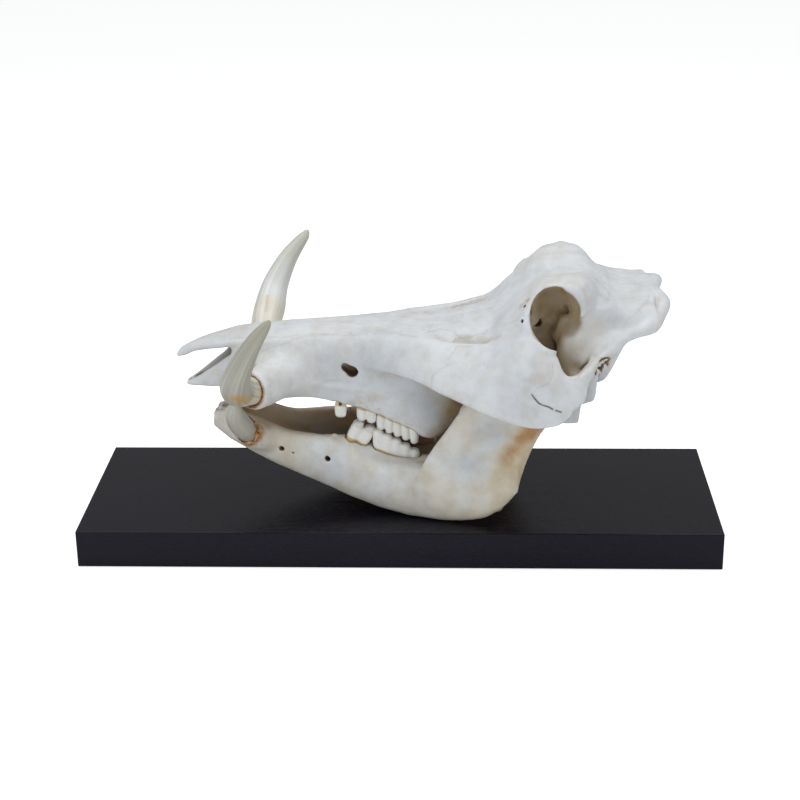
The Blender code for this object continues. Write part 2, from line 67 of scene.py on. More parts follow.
# %% Camera
def aim(thing, place, look_at=None, turn=None):
    """Puts a camera or light at a place, looking at a point or turned by angles in degrees."""
    thing.location = place
    if look_at is not None:
        thing.rotation_euler = (Vector(look_at) - Vector(place)).to_track_quat("-Z", "Y").to_euler()
    else:
        thing.rotation_euler = [math.radians(angle) for angle in turn]
    bpy.context.scene.collection.objects.link(thing)
    return thing


CAMERA_PLACE = (0.0562, -1.5022, 0.7253)
CAMERA_FALL = 21.65
CAMERA_SWING = -2.15
CAMERA_ROLL = -0.70
SENSOR_WIDTH = 36
FOCAL_LENGTH = 76.05
lens = bpy.data.cameras.new("camera")
lens.sensor_width = SENSOR_WIDTH
lens.lens = FOCAL_LENGTH
camera = aim(bpy.data.objects.new("camera", lens), CAMERA_PLACE, turn=(0, 0, 0))
across = math.radians(CAMERA_SWING)
down = math.radians(CAMERA_FALL)
look = Vector((math.sin(across) * math.cos(down), math.cos(across) * math.cos(down), -math.sin(down)))
camera.rotation_mode = "QUATERNION"
level = look.to_track_quat("-Z", "Y")
camera.rotation_quaternion = level @ Euler((0, 0, math.radians(CAMERA_ROLL))).to_quaternion()
bpy.context.scene.camera = camera
bpy.context.scene.view_settings.view_transform = "Standard"
print("camera:", [round(v, 3) for v in camera.location])


# %% Lights
def softbox(name, place, look_at, width, depth, power, colour=(1, 1, 1)):
    light = bpy.data.lights.new(name, "AREA")
    light.shape = "RECTANGLE"
    light.size = width
    light.size_y = depth
    light.energy = power
    light.color = colour
    return aim(bpy.data.objects.new(name, light), place, look_at)


softbox("overhead", (0.0, 0.15, 1.5), (0, 0, 0.1), 1.6, 1.2, 12.5, (0.96, 0.98, 1.0))
softbox("front_left", (-1.2, -1.3, 0.75), (0, 0, 0.15), 1.2, 1.0, 7, (0.94, 0.97, 1.0))
softbox("front_right", (1.3, -1.0, 0.8), (0, 0, 0.15), 1.2, 1.0, 4.5, (0.95, 0.975, 1.0))


# %% Background and floor
WORLD_LIT, WORLD_SEEN = 0.36, 1.0
FLOOR_LIT, FLOOR_SEEN = 0.12, 0.62
FLOOR_HALF_WIDTH = 6
FLOOR_DROP = 0.0005


def brighter_when_seen(tree, strength, lit, seen):
    """Gives a strength one value for the camera and another for all that it lights."""
    path = tree.nodes.new("ShaderNodeLightPath")
    choice = tree.nodes.new("ShaderNodeMapRange")
    choice.inputs["To Min"].default_value = lit
    choice.inputs["To Max"].default_value = seen
    tree.links.new(path.outputs["Is Camera Ray"], choice.inputs["Value"])
    tree.links.new(choice.outputs["Result"], strength)


world = bpy.data.worlds.new("studio")
world.use_nodes = True
background = world.node_tree.nodes["Background"]
background.inputs["Color"].default_value = (0.98, 0.99, 1.0, 1)
brighter_when_seen(world.node_tree, background.inputs["Strength"], WORLD_LIT, WORLD_SEEN)
bpy.context.scene.world = world

floor_mesh = bpy.data.meshes.new("floor")
far = FLOOR_HALF_WIDTH
floor_mesh.from_pydata([(-far, -far, 0), (far, -far, 0), (far, far, 0), (-far, far, 0)], [],
                       [(0, 1, 2, 3)])
floor = bpy.data.objects.new("floor", floor_mesh)
floor.location.z = -FLOOR_DROP
bpy.context.scene.collection.objects.link(floor)
floor_look = bpy.data.materials.new("pale_floor")
floor_look.use_nodes = True
floor_shader = floor_look.node_tree.nodes["Principled BSDF"]
floor_shader.inputs["Base Color"].default_value = (0.92, 0.92, 0.92, 1)
floor_shader.inputs["Roughness"].default_value = 0.9
floor_shader.inputs["Emission Color"].default_value = (1, 1, 1, 1)
brighter_when_seen(floor_look.node_tree, floor_shader.inputs["Emission Strength"], FLOOR_LIT, FLOOR_SEEN)
floor_mesh.materials.append(floor_look)
print("floor, m:", 2 * FLOOR_HALF_WIDTH, "wide,", FLOOR_DROP, "below the board")

# %% [markdown]
# ## Bones as fields of distance
#
# A skull has hardly a straight line in it, and openings run through it in every direction.
# Pushing the points of one mesh about would tear. So each bone is worked out as a field, the
# distance from its surface on a regular grid, as in the model's own source: lofts, tubes and
# balls are blended in or carved out, the two halves are mirrored, and OpenVDB finds the surface.
# The grid is finer here, so rims stay crisp.

# %% Smooth curves and blends
FAR = 60.0
BONE_STEP = 1.25
TOOTH_STEP = 0.45


def curve(at, knots, values):
    """A smooth curve through the knots that never overshoots them, and is level past both ends."""
    at = np.clip(np.asarray(at, float), knots[0], knots[-1])
    gaps = np.diff(knots)
    slopes = np.diff(values) / gaps
    tangents = np.zeros(len(values))
    tangents[0] = slopes[0]
    tangents[-1] = slopes[-1]
    for i in range(1, len(values) - 1):
        before, after = slopes[i - 1], slopes[i]
        if before * after > 0:
            weight_before = 2 * gaps[i] + gaps[i - 1]
            weight_after = gaps[i] + 2 * gaps[i - 1]
            tangents[i] = (weight_before + weight_after) / (weight_before / before + weight_after / after)
    i = np.clip(np.searchsorted(knots, at, side="right") - 1, 0, len(gaps) - 1)
    t = (at - knots[i]) / gaps[i]
    return ((1 + 2 * t) * (1 - t) ** 2 * values[i] + t * (1 - t) ** 2 * gaps[i] * tangents[i]
            + t * t * (3 - 2 * t) * values[i + 1] + t * t * (t - 1) * gaps[i] * tangents[i + 1])


def smooth_path(points, spacing):
    """Closely spaced points on the smooth curve through the given points, of any width."""
    points = np.asarray(points, float)
    route = np.vstack([2 * points[0] - points[1], points, 2 * points[-1] - points[-2]])
    found = []
    for a, b, c, d in zip(route[:-3], route[1:-2], route[2:-1], route[3:]):
        count = max(1, math.ceil(np.linalg.norm(c[:3] - b[:3]) / spacing))
        t = np.arange(count)[:, None] / count
        found.append(0.5 * (2 * b + (c - a) * t + (2 * a - 5 * b + 4 * c - d) * t ** 2
                            + (3 * b - a - 3 * c + d) * t ** 3))
    return np.vstack(found + [points[-1:]])


def smooth_min(a, b, blend):
    """The smaller of two distances, with a fillet about as wide as blend where they meet."""
    h = np.clip(0.5 + 0.5 * (a - b) / blend, 0, 1)
    return a + (b - a) * h - blend * h * (1 - h)


def on_right(points):
    """The points brought over to the right half of the head, where the forms are written."""
    return np.column_stack([points[:, 0], np.abs(points[:, 1]), points[:, 2]])


print("grid steps, mm: bone", BONE_STEP, "teeth", TOOTH_STEP)


# %% The three shapes everything is blended from
def loft(stations, power=2.5, along="x"):
    """A body lofted through oval sections, squarer as the power rises. A station is (place, middle
    y, half width, low, high) with an optional lean, which is how far y moves for each unit of
    height. Low and high are heights on a loft along x, and places along x on one along z."""
    table = np.array([tuple(s) + (0.0,) * (6 - len(s)) for s in stations], float)
    table = table[np.argsort(table[:, 0])]
    place, middle, half, low, high, lean = table.T

    def distance(x, y, z):
        at, across = (x, z) if along == "x" else (z, x)
        mid_y, half_y, lo, hi, slope = [curve(at.ravel(), place, column).reshape(at.shape)
                                        for column in (middle, half, low, high, lean)]
        centre, reach = (lo + hi) / 2, (hi - lo) / 2
        u = np.abs(y - mid_y - slope * (across - centre)) / half_y
        v = np.abs(across - centre) / reach
        r = (u ** power + v ** power) ** (1 / power) + 1e-6
        steep_u = (u / r) ** (power - 1) / half_y
        steep_v = (v / r) ** (power - 1) / reach
        inside = (r - 1) / np.sqrt(steep_u ** 2 * (1 + slope ** 2) + steep_v ** 2 + 1e-9)
        past = np.maximum(np.maximum(place[0] - at, at - place[-1]), 0)
        return np.where(past > 0, np.hypot(np.maximum(inside, 0), past), inside)

    spread = half + np.abs(lean) * (high - low) / 2
    corners = [(place[0], (middle - spread).min(), low.min()),
               (place[-1], (middle + spread).max(), high.max())]
    if along == "z":
        corners = [corner[::-1] for corner in corners]
    return np.array(corners), distance


def tube(points, across=None, ratio=1.0):
    """A round body along a smooth path of (x, y, z, radius) points. Across is a direction in which
    the body is thinner by the ratio."""
    path = smooth_path(points, 5.0)
    radius = np.maximum(path[:, 3], 0.3)
    axis = np.array(across or (0, 0, 1), float)
    axis /= np.linalg.norm(axis)

    def stretched(x, y, z):
        shift = (ratio - 1) * (x * axis[0] + y * axis[1] + z * axis[2])
        return x + shift * axis[0], y + shift * axis[1], z + shift * axis[2]

    knots = np.array([stretched(*point) for point in path[:, :3]])

    def distance(x, y, z):
        x, y, z = stretched(*np.broadcast_arrays(x, y, z))
        nearest = np.full(x.shape, FAR)
        for a, b, r_a, r_b in zip(knots[:-1], knots[1:], radius[:-1], radius[1:]):
            run = b - a
            t = ((x - a[0]) * run[0] + (y - a[1]) * run[1] + (z - a[2]) * run[2]) / (run @ run + 1e-9)
            t = np.clip(t, 0, 1)
            gap = (x - a[0] - t * run[0]) ** 2 + (y - a[1] - t * run[1]) ** 2 + (z - a[2] - t * run[2]) ** 2
            nearest = np.minimum(nearest, np.sqrt(gap) - (r_a + (r_b - r_a) * t))
        return nearest / math.sqrt(ratio)

    reach = radius.max()
    return np.array([path[:, :3].min(0) - reach, path[:, :3].max(0) + reach]), distance


def ball(centre, radii, turn=(0, 0, 0)):
    """An ellipsoid, turned by angles in degrees about x, y and z."""
    axes = np.array(Euler([math.radians(angle) for angle in turn]).to_matrix())
    radii = np.array(radii, float)

    def distance(x, y, z):
        offset = (x - centre[0], y - centre[1], z - centre[2])
        own = [sum(offset[i] * axes[i, k] for i in range(3)) for k in range(3)]
        near = np.sqrt(sum((u / r) ** 2 for u, r in zip(own, radii))) + 1e-6
        steep = np.sqrt(sum((u / r ** 2) ** 2 for u, r in zip(own, radii))) + 1e-9
        return near * (near - 1) / steep

    reach = np.sqrt(((axes * radii) ** 2).sum(1))
    return np.array([np.array(centre) - reach, np.array(centre) + reach]), distance


# %% The grid that the shapes are blended into
class Clay:
    """A grid of distances, in millimetres, that are negative inside the body. A two-sided body
    is worked out at y = 0 and above only, and mirrored."""

    def __init__(self, low, high, step, two_sided=True):
        self.step = step
        self.two_sided = two_sided
        self.axes = [np.arange(a, b + step, step) for a, b in zip(low, high)]
        self.values = np.full([len(axis) for axis in self.axes], FAR)

    def reach(self, corners, margin):
        spans = [slice(*np.searchsorted(axis, (low - margin, high + margin)))
                 for axis, low, high in zip(self.axes, *corners)]
        x, y, z = [axis[span] for axis, span in zip(self.axes, spans)]
        return tuple(spans), (x[:, None, None], y[None, :, None], z[None, None, :])

    def add(self, shape, blend=5.0):
        corners, distance = shape
        where, coordinates = self.reach(corners, max(blend + 3 * self.step, 12))
        self.values[where] = smooth_min(self.values[where], distance(*coordinates), blend)

    def cut(self, shape, blend=2.0):
        corners, distance = shape
        where, coordinates = self.reach(corners, blend + 3 * self.step)
        self.values[where] = -smooth_min(-self.values[where], distance(*coordinates), blend)

    def sample(self, points):
        """The distance at each point, in millimetres, read between the grid's corners."""
        points = np.array(points)
        if self.two_sided:
            points[:, 1] = np.abs(points[:, 1])
        spot = (points - [axis[0] for axis in self.axes]) / self.step
        spot = np.clip(spot, 0, np.array(self.values.shape) - 1.001)
        low = spot.astype(int)
        part = spot - low
        total = np.zeros(len(points))
        for corner in np.ndindex(2, 2, 2):
            weight = np.prod(np.where(corner, part, 1 - part), axis=1)
            total += weight * self.values[tuple((low + corner).T)]
        return total

    def surface(self):
        """The surface's points, in millimetres, and its four-sided faces."""
        band = 3 * self.step
        whole = np.clip(self.values, -band, band)
        corner = np.array([axis[0] for axis in self.axes])
        if self.two_sided:
            whole = np.concatenate([whole[:, :0:-1, :], whole], axis=1)
            corner[1] = -self.axes[1][-1]
        grid = openvdb.FloatGrid(band)
        grid.copyFromArray(whole.astype(np.float32))
        points, _, quads = grid.convertToPolygons(isovalue=0.0, adaptivity=0.0)
        return points * self.step + corner, quads


# %% [markdown]
# ## The cranium
#
# First come the big forms, bone by bone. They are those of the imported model, but for one small
# wall inside the eye socket. Then come the finer ones that only a close grid can hold: the lips
# of the eye sockets, the foramina that nerves ran through, the pits and spurs of the skull's
# underside and the vaulted palate.

# %% The cranium's main forms
def cranium_forms(bone):
    # The snout and the braincase behind it
    bone.add(loft([(-156, 0, 24, 152, 196), (-140, 0, 28, 149, 199), (-120, 0, 31, 146, 202),
                   (-95, 0, 32, 146, 206.5), (-60, 0, 34, 148, 208.5), (-25, 0, 37, 147, 208.5),
                   (10, 0, 41, 144, 209.5), (45, 0, 45, 141, 213), (80, 0, 44, 142, 222),
                   (120, 0, 40, 146, 238), (160, 0, 38, 148, 247), (190, 0, 40, 154, 247.5),
                   (212, 0, 40, 196, 245), (232, 0, 42, 222, 244)], power=2.9), 6)
    # The nasal bones, drawn out to a point
    bone.add(loft([(-216, 0, 2, 171, 173.5), (-211, 0, 4, 172.5, 179), (-205, 0, 6.5, 174.5, 184),
                   (-192, 0, 12, 181, 189.5),
                   (-172, 0, 19, 185, 195.5), (-150, 0, 24, 188, 200.5), (-120, 0, 28, 188, 203),
                   (-100, 0, 28, 188, 204)], power=2.4), 4)
    # The blades under the nose, and the hollow between them
    bone.add(loft([(-203, 3, 1.8, 145.5, 149.5), (-193, 6.5, 2.2, 146, 155.5),
                   (-180, 10.5, 2.6, 147, 165),
                   (-166, 14.5, 3.2, 148, 175.5), (-156, 19, 4, 148, 184), (-142, 26, 5, 146, 197)],
                  power=2.4), 3)
    bone.add(loft([(-198, 0, 5, 146, 149.5), (-180, 0, 10, 147, 152), (-165, 0, 15, 148, 155),
                   (-140, 0, 26, 146, 158)]), 3)
    bone.cut(loft([(-222, 0, 3, 152, 176), (-190, 0, 5, 152.5, 183), (-180, 0, 7.8, 154, 185),
                   (-165, 0, 11.5, 157, 188),
                   (-140, 0, 21, 158, 194), (-105, 0, 16, 160, 192),
                   (-60, 0, 7, 168, 184)], power=2.3), 2)
    # The ridge that holds the cheek teeth
    bone.add(loft([(-104, 28, 3, 148, 157), (-78, 32, 5, 144, 158), (-60, 34, 7, 141, 160),
                   (-40, 36, 10, 137, 165), (-20, 37, 11.5, 130, 168), (0, 38, 12, 121, 168),
                   (12, 38, 12, 115, 167), (22, 38, 11.5, 108, 166), (31, 37, 11, 106, 164),
                   (40, 36, 10, 110, 162), (49, 34, 8, 119, 160), (56, 32, 5, 129, 156)], power=2.6), 9)
    # The flare that carries the tusk
    bone.add(tube([(-80, 18, 170, 16), (-104, 32, 166, 18), (-122, 46, 162, 18.5),
                   (-131, 57, 161, 18)]), 16)
    # The cheekbone's plate and the arch behind it
    bone.add(loft([(-68, 29, 4, 187, 199, -0.2), (-45, 32, 7, 182, 203, -0.3),
                   (-18, 39, 9, 177, 205, -0.5),
                   (12, 52, 10, 175, 208, -0.75), (45, 74, 11, 169, 207, -0.95),
                   (80, 93, 11, 161, 211, -0.85), (108, 105, 11, 155, 225, -0.6),
                   (128, 111, 10, 152, 217, -0.45), (142, 111, 8.5, 153, 210, -0.4),
                   (149, 111, 7.5, 155, 198, -0.35), (155, 109, 6, 159, 191, -0.3)], power=2.4), 10)
    bone.add(loft([(-72, 28, 6, 152, 190), (-42, 32, 8.5, 152, 190), (-15, 35, 10, 152, 188),
                   (4, 37, 9, 150, 184), (24, 38, 6, 150, 178)]), 8)
    bone.add(loft([(-10, 32, 10, 180, 203, -0.5), (20, 38, 16, 178, 206, -0.6),
                   (50, 47, 22, 178, 203, -0.6), (80, 56, 26, 182, 209, -0.6),
                   (108, 64, 26, 192, 228, -0.5)], power=2.4), 8)
    bone.add(tube([(120, 112, 170, 8), (142, 111, 170, 11), (153, 107, 177, 12), (162, 101, 187.5, 9.5),
                   (172, 94, 198, 7.5), (184, 87, 207.5, 6), (197, 80, 216, 5.5)], across=(0, 1, 0),
                  ratio=1.3), 6)
    bone.add(tube([(157, 104, 174, 10), (162, 84, 178, 9.5), (165, 60, 180, 11), (168, 45, 182, 13)]), 8)
    # The brow, dished between raised rims
    bone.add(loft([(56, 0, 40, 190, 210), (84, 0, 58, 196, 213), (92, 0, 66, 200, 223),
                   (98, 0, 70, 203, 231), (104, 0, 71, 206, 237), (115, 0, 73, 212, 247),
                   (126, 0, 75, 220, 259.5), (138, 0, 76, 230, 267.5), (154, 0, 75, 238, 269.5),
                   (166, 0, 70, 241, 269), (175, 0, 60, 243, 264.5), (183, 0, 50, 239, 256),
                   (191, 0, 46, 238, 250)], power=3.6), 10)
    bone.add(tube([(121, 86, 214, 9), (117, 81, 226, 9), (119, 75, 237, 7), (128, 70, 247, 6)]), 8)
    bone.add(tube([(128, 94, 218, 7.5), (142, 97, 218.5, 5.5), (152.5, 97, 223, 2.4)]), 6)
    bone.cut(ball((146, 0, 304), (90, 54, 46)), 14)
    bone.cut(ball((60, 0, 286), (80, 40, 62)), 14)
    # The shelf of the parietal bones and the crest at its back
    bone.add(loft([(168, 22, 18, 198, 249, -0.1), (185, 30, 22, 206, 250, -0.4),
                   (198, 37, 26, 213, 246, -0.6), (210, 36, 28, 219, 244.5, -0.6),
                   (222, 34, 30, 224, 244, -0.55), (232, 30, 32, 230, 243.5, -0.4)], power=3.0), 7)
    bone.add(tube([(235, 0, 239, 6), (239, 20, 239, 6.5), (241.5, 37, 237, 6.5), (236, 54, 232, 6),
                   (229, 66, 226, 6.5), (216, 71, 222, 5), (204, 74, 218, 5), (193, 79, 211, 5)]), 6)
    bone.add(tube([(178, 68, 206, 8), (194, 66, 216, 9), (210, 60, 227, 9)]), 6)
    bone.add(tube([(160, 51, 241, 15), (173, 53, 237, 15), (190, 54, 232, 14), (206, 52, 231, 12)]), 8)
    # The wall under the crest, the temple's back wall, the neck knuckles and the base
    bone.add(loft([(138, 0, 34, 162, 176), (158, 0, 40, 160, 190), (174, 0, 44, 168, 208),
                   (186, 0, 45, 192, 220), (204, 0, 46, 214, 232), (228, 0, 46, 230, 240)], power=2.8), 6)
    bone.add(loft([(172, 56, 19, 154, 172), (186, 56, 19, 147, 180), (200, 56, 19, 145, 185),
                   (214, 55, 19, 148, 190), (228, 53, 18, 156, 197),
                   (242, 47, 20, 165, 194)], power=3.0, along="z"), 6)
    bone.add(ball((171, 15, 157), (9, 11, 13), (0, 25, 0)), 5)
    bone.add(loft([(55, 0, 20, 146, 158), (110, 0, 17, 141, 158), (150, 0, 18, 142, 164),
                   (172, 0, 20, 150, 176)]), 6)
    bone.cut(tube([(195, 0, 150, 9), (176, 0, 166, 9), (160, 0, 182, 9)]), 3)
    bone.add(loft([(126, 48, 3.4, 151, 167), (143, 47, 4.2, 152, 169.5), (147, 46, 4.6, 154, 180.5),
                   (166, 43, 7, 160, 184), (184, 40, 10, 164, 187)], along="z"), 5)
    bone.add(loft([(112, 25, 2.6, 52, 60), (128, 26, 3.2, 50, 72), (150, 26, 5, 46, 92)], along="z"), 6)
    # The eye socket, and the temple's opening behind it
    bone.cut(ball((143, 78, 238), (24.5, 46, 26)), 2.5)
    bone.cut(tube([(132, 62, 222, 13), (132, 67, 212, 12), (134, 75, 200, 10.5), (139, 80, 184, 11.5),
                   (146, 82, 166, 14.5), (148, 84, 150, 18)]), 4)
    bone.cut(tube([(157, 98, 203, 11.5), (172, 93, 216, 12), (184, 89, 225.5, 12.5), (198, 86, 234, 13),
                   (214, 90, 244, 14)]), 5)
    bone.cut(tube([(172, 86, 228, 9), (184, 85, 234, 11), (198, 88, 242, 13.5), (212, 96, 250, 15)]), 8)
    # The spur behind the eye
    bone.add(tube([(154, 67, 262.5, 4), (159.5, 68, 260, 4.5), (164, 69.5, 255.5, 4.4),
                   (166.5, 71, 249.5, 3.6),
                   (166.5, 72, 244, 2.6), (165.5, 73, 238.5, 1.4)]), 4)
    bone.add(tube([(170, 64, 253, 5), (171, 65, 244, 5.5), (169, 65, 235, 5)]), 4)
    bone.add(tube([(170, 77, 195, 7), (181, 78, 206, 7.5), (194, 74, 215, 7)]), 6)
    bone.add(tube([(151, 41, 224, 4), (147, 45, 211, 6)]), 6)
    # The hole in front of the cheek
    bone.cut(tube([(-48, 50, 174, 5), (-42, 38, 173, 5.5), (-30, 26, 172, 5.5), (-12, 18, 171, 4)]), 1.5)


# %% The cranium's finer forms
def cranium_details(bone):
    # Small holes of the tear ducts, in the front rim of the eye socket
    bone.cut(tube([(111, 68, 248, 1.5), (115, 61, 243.5, 1.6), (121, 54, 239, 1.3)]), 0.8)
    bone.cut(tube([(108, 88, 238, 1.4), (112, 81, 235.9, 1.7), (119, 72, 232, 1.4)]), 0.8)
    bone.cut(tube([(109, 88, 241, 0.9), (113, 78, 239.5, 1.0)]), 0.6)
    bone.cut(tube([(131, 44, 222, 4), (126, 34, 219, 3.4)]), 1.5)
    # A groove down the spur behind the eye, which gives it a double edge
    bone.cut(tube([(158, 80, 262, 1.2), (167, 81, 254, 1.4), (170, 82, 244, 1)]), 2)
    # The palate is a shallow vault, with two holes at its rear and the openings of the throat
    bone.cut(loft([(-150, 0, 8, 138, 149), (-110, 0, 15, 136, 150), (-50, 0, 20, 136, 152),
                   (20, 0, 22, 130, 149), (52, 0, 20, 126, 147)], power=2.2), 3)
    bone.cut(tube([(10, 17, 140, 2), (8, 17, 152, 2)]), 1)
    bone.cut(tube([(44, 9, 128, 10), (60, 9, 146, 11), (84, 9, 162, 9), (110, 8, 168, 4)]), 4)
    bone.add(tube([(50, 0, 150, 1.6), (84, 0, 152, 1.6), (110, 0, 158, 1.6)], (0, 1, 0), 1.5), 3)
    # The small hole is drawn out forwards and down, and its floor runs on as a groove
    bone.cut(tube([(-53, 44, 179, 2), (-48, 38, 176.5, 4.4), (-42, 33, 173.5, 5.5)]), 1.2)
    # Openings behind the front blades
    bone.cut(tube([(-178, 7, 146, 2), (-168, 8, 153, 2.4), (-158, 8, 160, 2)]), 1.5)
    # The back of the head: two hollows for the neck's tendon, and the bulbs in front of the spurs
    bone.cut(ball((214, 17, 214), (20, 13, 13), (0, -40, 0)), 6)
    bone.cut(ball((190, 56, 196), (9, 14, 10), (0, -30, 0)), 6)
    bone.add(ball((140, 36, 141), (11, 8, 13), (0, 18, 0)), 4)
    # The ear's opening, behind the arch's root
    bone.cut(tube([(204, 76, 202, 4), (194, 66, 201, 3.5), (184, 56, 199, 3)]), 2)
    # The broken edge under the crest's wing, where the spongy bone inside shows
    bone.cut(ball((183, 91, 196), (11, 6, 8.5), (0, -42, 0)), 1.2)
    for step in range(6):
        lean = (7.3 * step) % 5 - 2.5
        x, z = 175 + 3.0 * step, 188 + 2.7 * step
        bone.add(tube([(x, 85, z, 1.6), (x + 0.4 * lean, 89, z + 0.3 * lean, 1.4),
                       (x + lean, 93, z - 1, 1.1)]), 0.8)
    # Ridges that muscles left on the cheek and behind the small hole
    bone.add(tube([(-78, 38, 160, 1.4), (-56, 41, 158, 2), (-30, 46, 157, 1.8), (-4, 49, 152, 1.2)]), 4)


cranium_clay = Clay((-224, 0, 96), (264, 140, 288), BONE_STEP)
cranium_forms(cranium_clay)
cranium_details(cranium_clay)
print("cranium field:", cranium_clay.values.shape)

# %% [markdown]
# ## The lower jaw
#
# Two long bodies meet at the chin and spread backwards to the upright branches, each with a hinge
# knuckle. The chin of an old boar is rough where the front teeth were lost.

# %% The lower jaw's forms
def mandible_forms(bone):
    # The two bodies, the chin, and the ridge that holds the teeth
    bone.add(loft([(-178, 7, 8, 106, 117), (-170, 10, 11, 101, 123), (-162, 13, 14, 96, 126),
                   (-145, 18, 15, 87.5, 121), (-125, 22, 12, 77, 115), (-100, 28, 10, 67, 108),
                   (-70, 36, 11, 57, 107), (-45, 42, 13, 48, 100), (-15, 50, 14, 40, 89),
                   (15, 58, 13, 36.5, 87, -0.1), (45, 66, 10.5, 36.5, 95, -0.15),
                   (75, 71, 8.5, 40, 104, -0.15), (98, 74, 7, 54, 106, -0.1),
                   (110, 75, 5, 68, 104, -0.1)],
                  power=2.5), 6)
    bone.add(loft([(-171, 0, 14, 103, 119), (-150, 0, 20, 90, 112), (-125, 0, 22, 80, 100),
                   (-105, 0, 20, 73, 87)]), 6)
    bone.add(loft([(-68, 34, 5, 86, 106), (-52, 35, 8, 84, 107), (-45, 36, 9, 84, 104),
                   (-33, 37, 10, 80, 100), (-20, 38, 10.5, 76, 97), (-8, 39, 10.5, 70, 92),
                   (6, 40, 10.5, 66, 89.5), (18, 41, 10, 66, 89), (32, 44, 8, 66, 90)], power=2.8), 5)
    # The upright branch, its knuckle and its blade
    bone.add(loft([(44, 66, 5, 36, 96), (58, 68, 7, 25, 103), (72, 69, 8.5, 17, 108),
                   (86, 70, 8, 20, 115), (100, 71, 7.5, 27, 120),
                   (115, 73, 7, 36, 126), (130, 75, 6.5, 46, 134), (146, 77, 6, 56, 146),
                   (157, 79, 6, 66, 155)], along="z"), 10)
    bone.add(ball((154, 82, 158), (9, 17, 6), (0, -15, 0)), 5)
    bone.add(loft([(150, 76, 5, 58, 84), (168, 76, 4, 68, 88), (180, 75, 3, 76, 90)], along="z"), 6)
    # The socket of the lower tusk
    bone.add(tube([(-128, 29, 101, 11.5), (-137, 37, 107, 12), (-143.5, 44, 116, 11.8),
                   (-148, 49.5, 123.5, 11.5)]), 6)


# %% The lower jaw's finer forms
def mandible_details(bone):
    # The holes in the side of the jaw, where nerves came out to the lip
    bone.cut(tube([(-115, 42, 93, 2.2), (-109, 30, 92.5, 2.2), (-99, 24, 91, 1.5)]), 1)
    bone.cut(tube([(-69, 50, 88, 2.8), (-63, 40, 87, 2.8), (-53, 34, 86, 2)]), 1.2)
    bone.cut(tube([(-103, 44, 90, 1.1), (-99, 32, 89, 1.1)]), 0.8)
    # The hollow on the outside of the branch for the chewing muscle
    bone.cut(ball((92, 96, 112), (30, 20, 36), (0, 30, 0)), 10)
    # The hole on the inside of the branch
    bone.cut(tube([(97, 57, 121, 3), (94, 63, 115, 2.4)]), 2)
    # The broken sockets of the lost front teeth
    for x, y, z, size in ((-176, 4, 116, 3.2), (-173, 11, 119, 3.6), (-168, 17, 121, 3),
    (-171, 5, 122, 2.6)):
        bone.add(ball((x, y, z), (size, size, size)), 2)
    for x, y, z, size in ((-174.5, 7.5, 121, 1.8), (-169, 12, 125, 2), (-177, 9, 114, 1.3)):
        bone.cut(ball((x, y, z), (size, size, size * 1.6)), 1)
    bone.cut(tube([(-186, 0, 110, 1.2), (-150, 0, 92, 1.2)]), 2)
    # The stub of a root in front of the cheek teeth
    bone.add(ball((-61, 36, 106), (3.6, 3.2, 3.4)), 1.5)


mandible_clay = Clay((-186, 0, 28), (172, 106, 188), BONE_STEP)
mandible_forms(mandible_clay)
mandible_details(mandible_clay)
print("jaw field:", mandible_clay.values.shape)

# %% [markdown]
# ## Teeth
#
# A warthog's cheek teeth are rows of upright columns grown together, worn flat on top to rings
# of hard enamel. Each one is a small field of its own: a tube for each column, blended, cut off
# by wear, with its roots below. Its own shape, a little larger, is carved out of the bone, so
# that a thin dark line runs round its neck as in the real skull. The sockets of both upper tusks
# follow the left tusk's line. The right tusk's own line lies about 2 mm off it at the root, so
# there it cuts into its socket's wall, which is hidden but isn't as in a real skull.

# %% Tooth shapes
TEETH = {
    "upper_premolar": dict(x=-54.5, y=36, z=137, length=10.5, width=9, crown=8.5, root=8,
                           fall=0.12, lean=0, taper=0, lobes=1, melt=1.1, up=-1),
    "upper_middle_molar": dict(x=-30.2, y=37, z=133.5, length=18, width=13, crown=8, root=8,
                               fall=0.24, lean=0, taper=0, lobes=2, melt=1.6, up=-1),
    "upper_rear_molar": dict(x=-1.2, y=38, z=121, length=38.8, width=13, crown=10, root=9,
                             fall=0.45, lean=0, taper=0, lobes=5, melt=1.7, up=-1),
    "lower_middle_molar": dict(x=-38.8, y=36, z=104.5, length=21, width=12, crown=12.5, root=8,
                               fall=0.5, lean=0.5, taper=0, lobes=2, melt=3.6, up=1),
    "lower_rear_molar": dict(x=-2.6, y=39, z=91.5, length=43, width=12, crown=15, root=9,
                             fall=0.4, lean=0, taper=0.6, lobes=5, melt=4.6, up=1),
}
TOOTH_GAP = 0.35


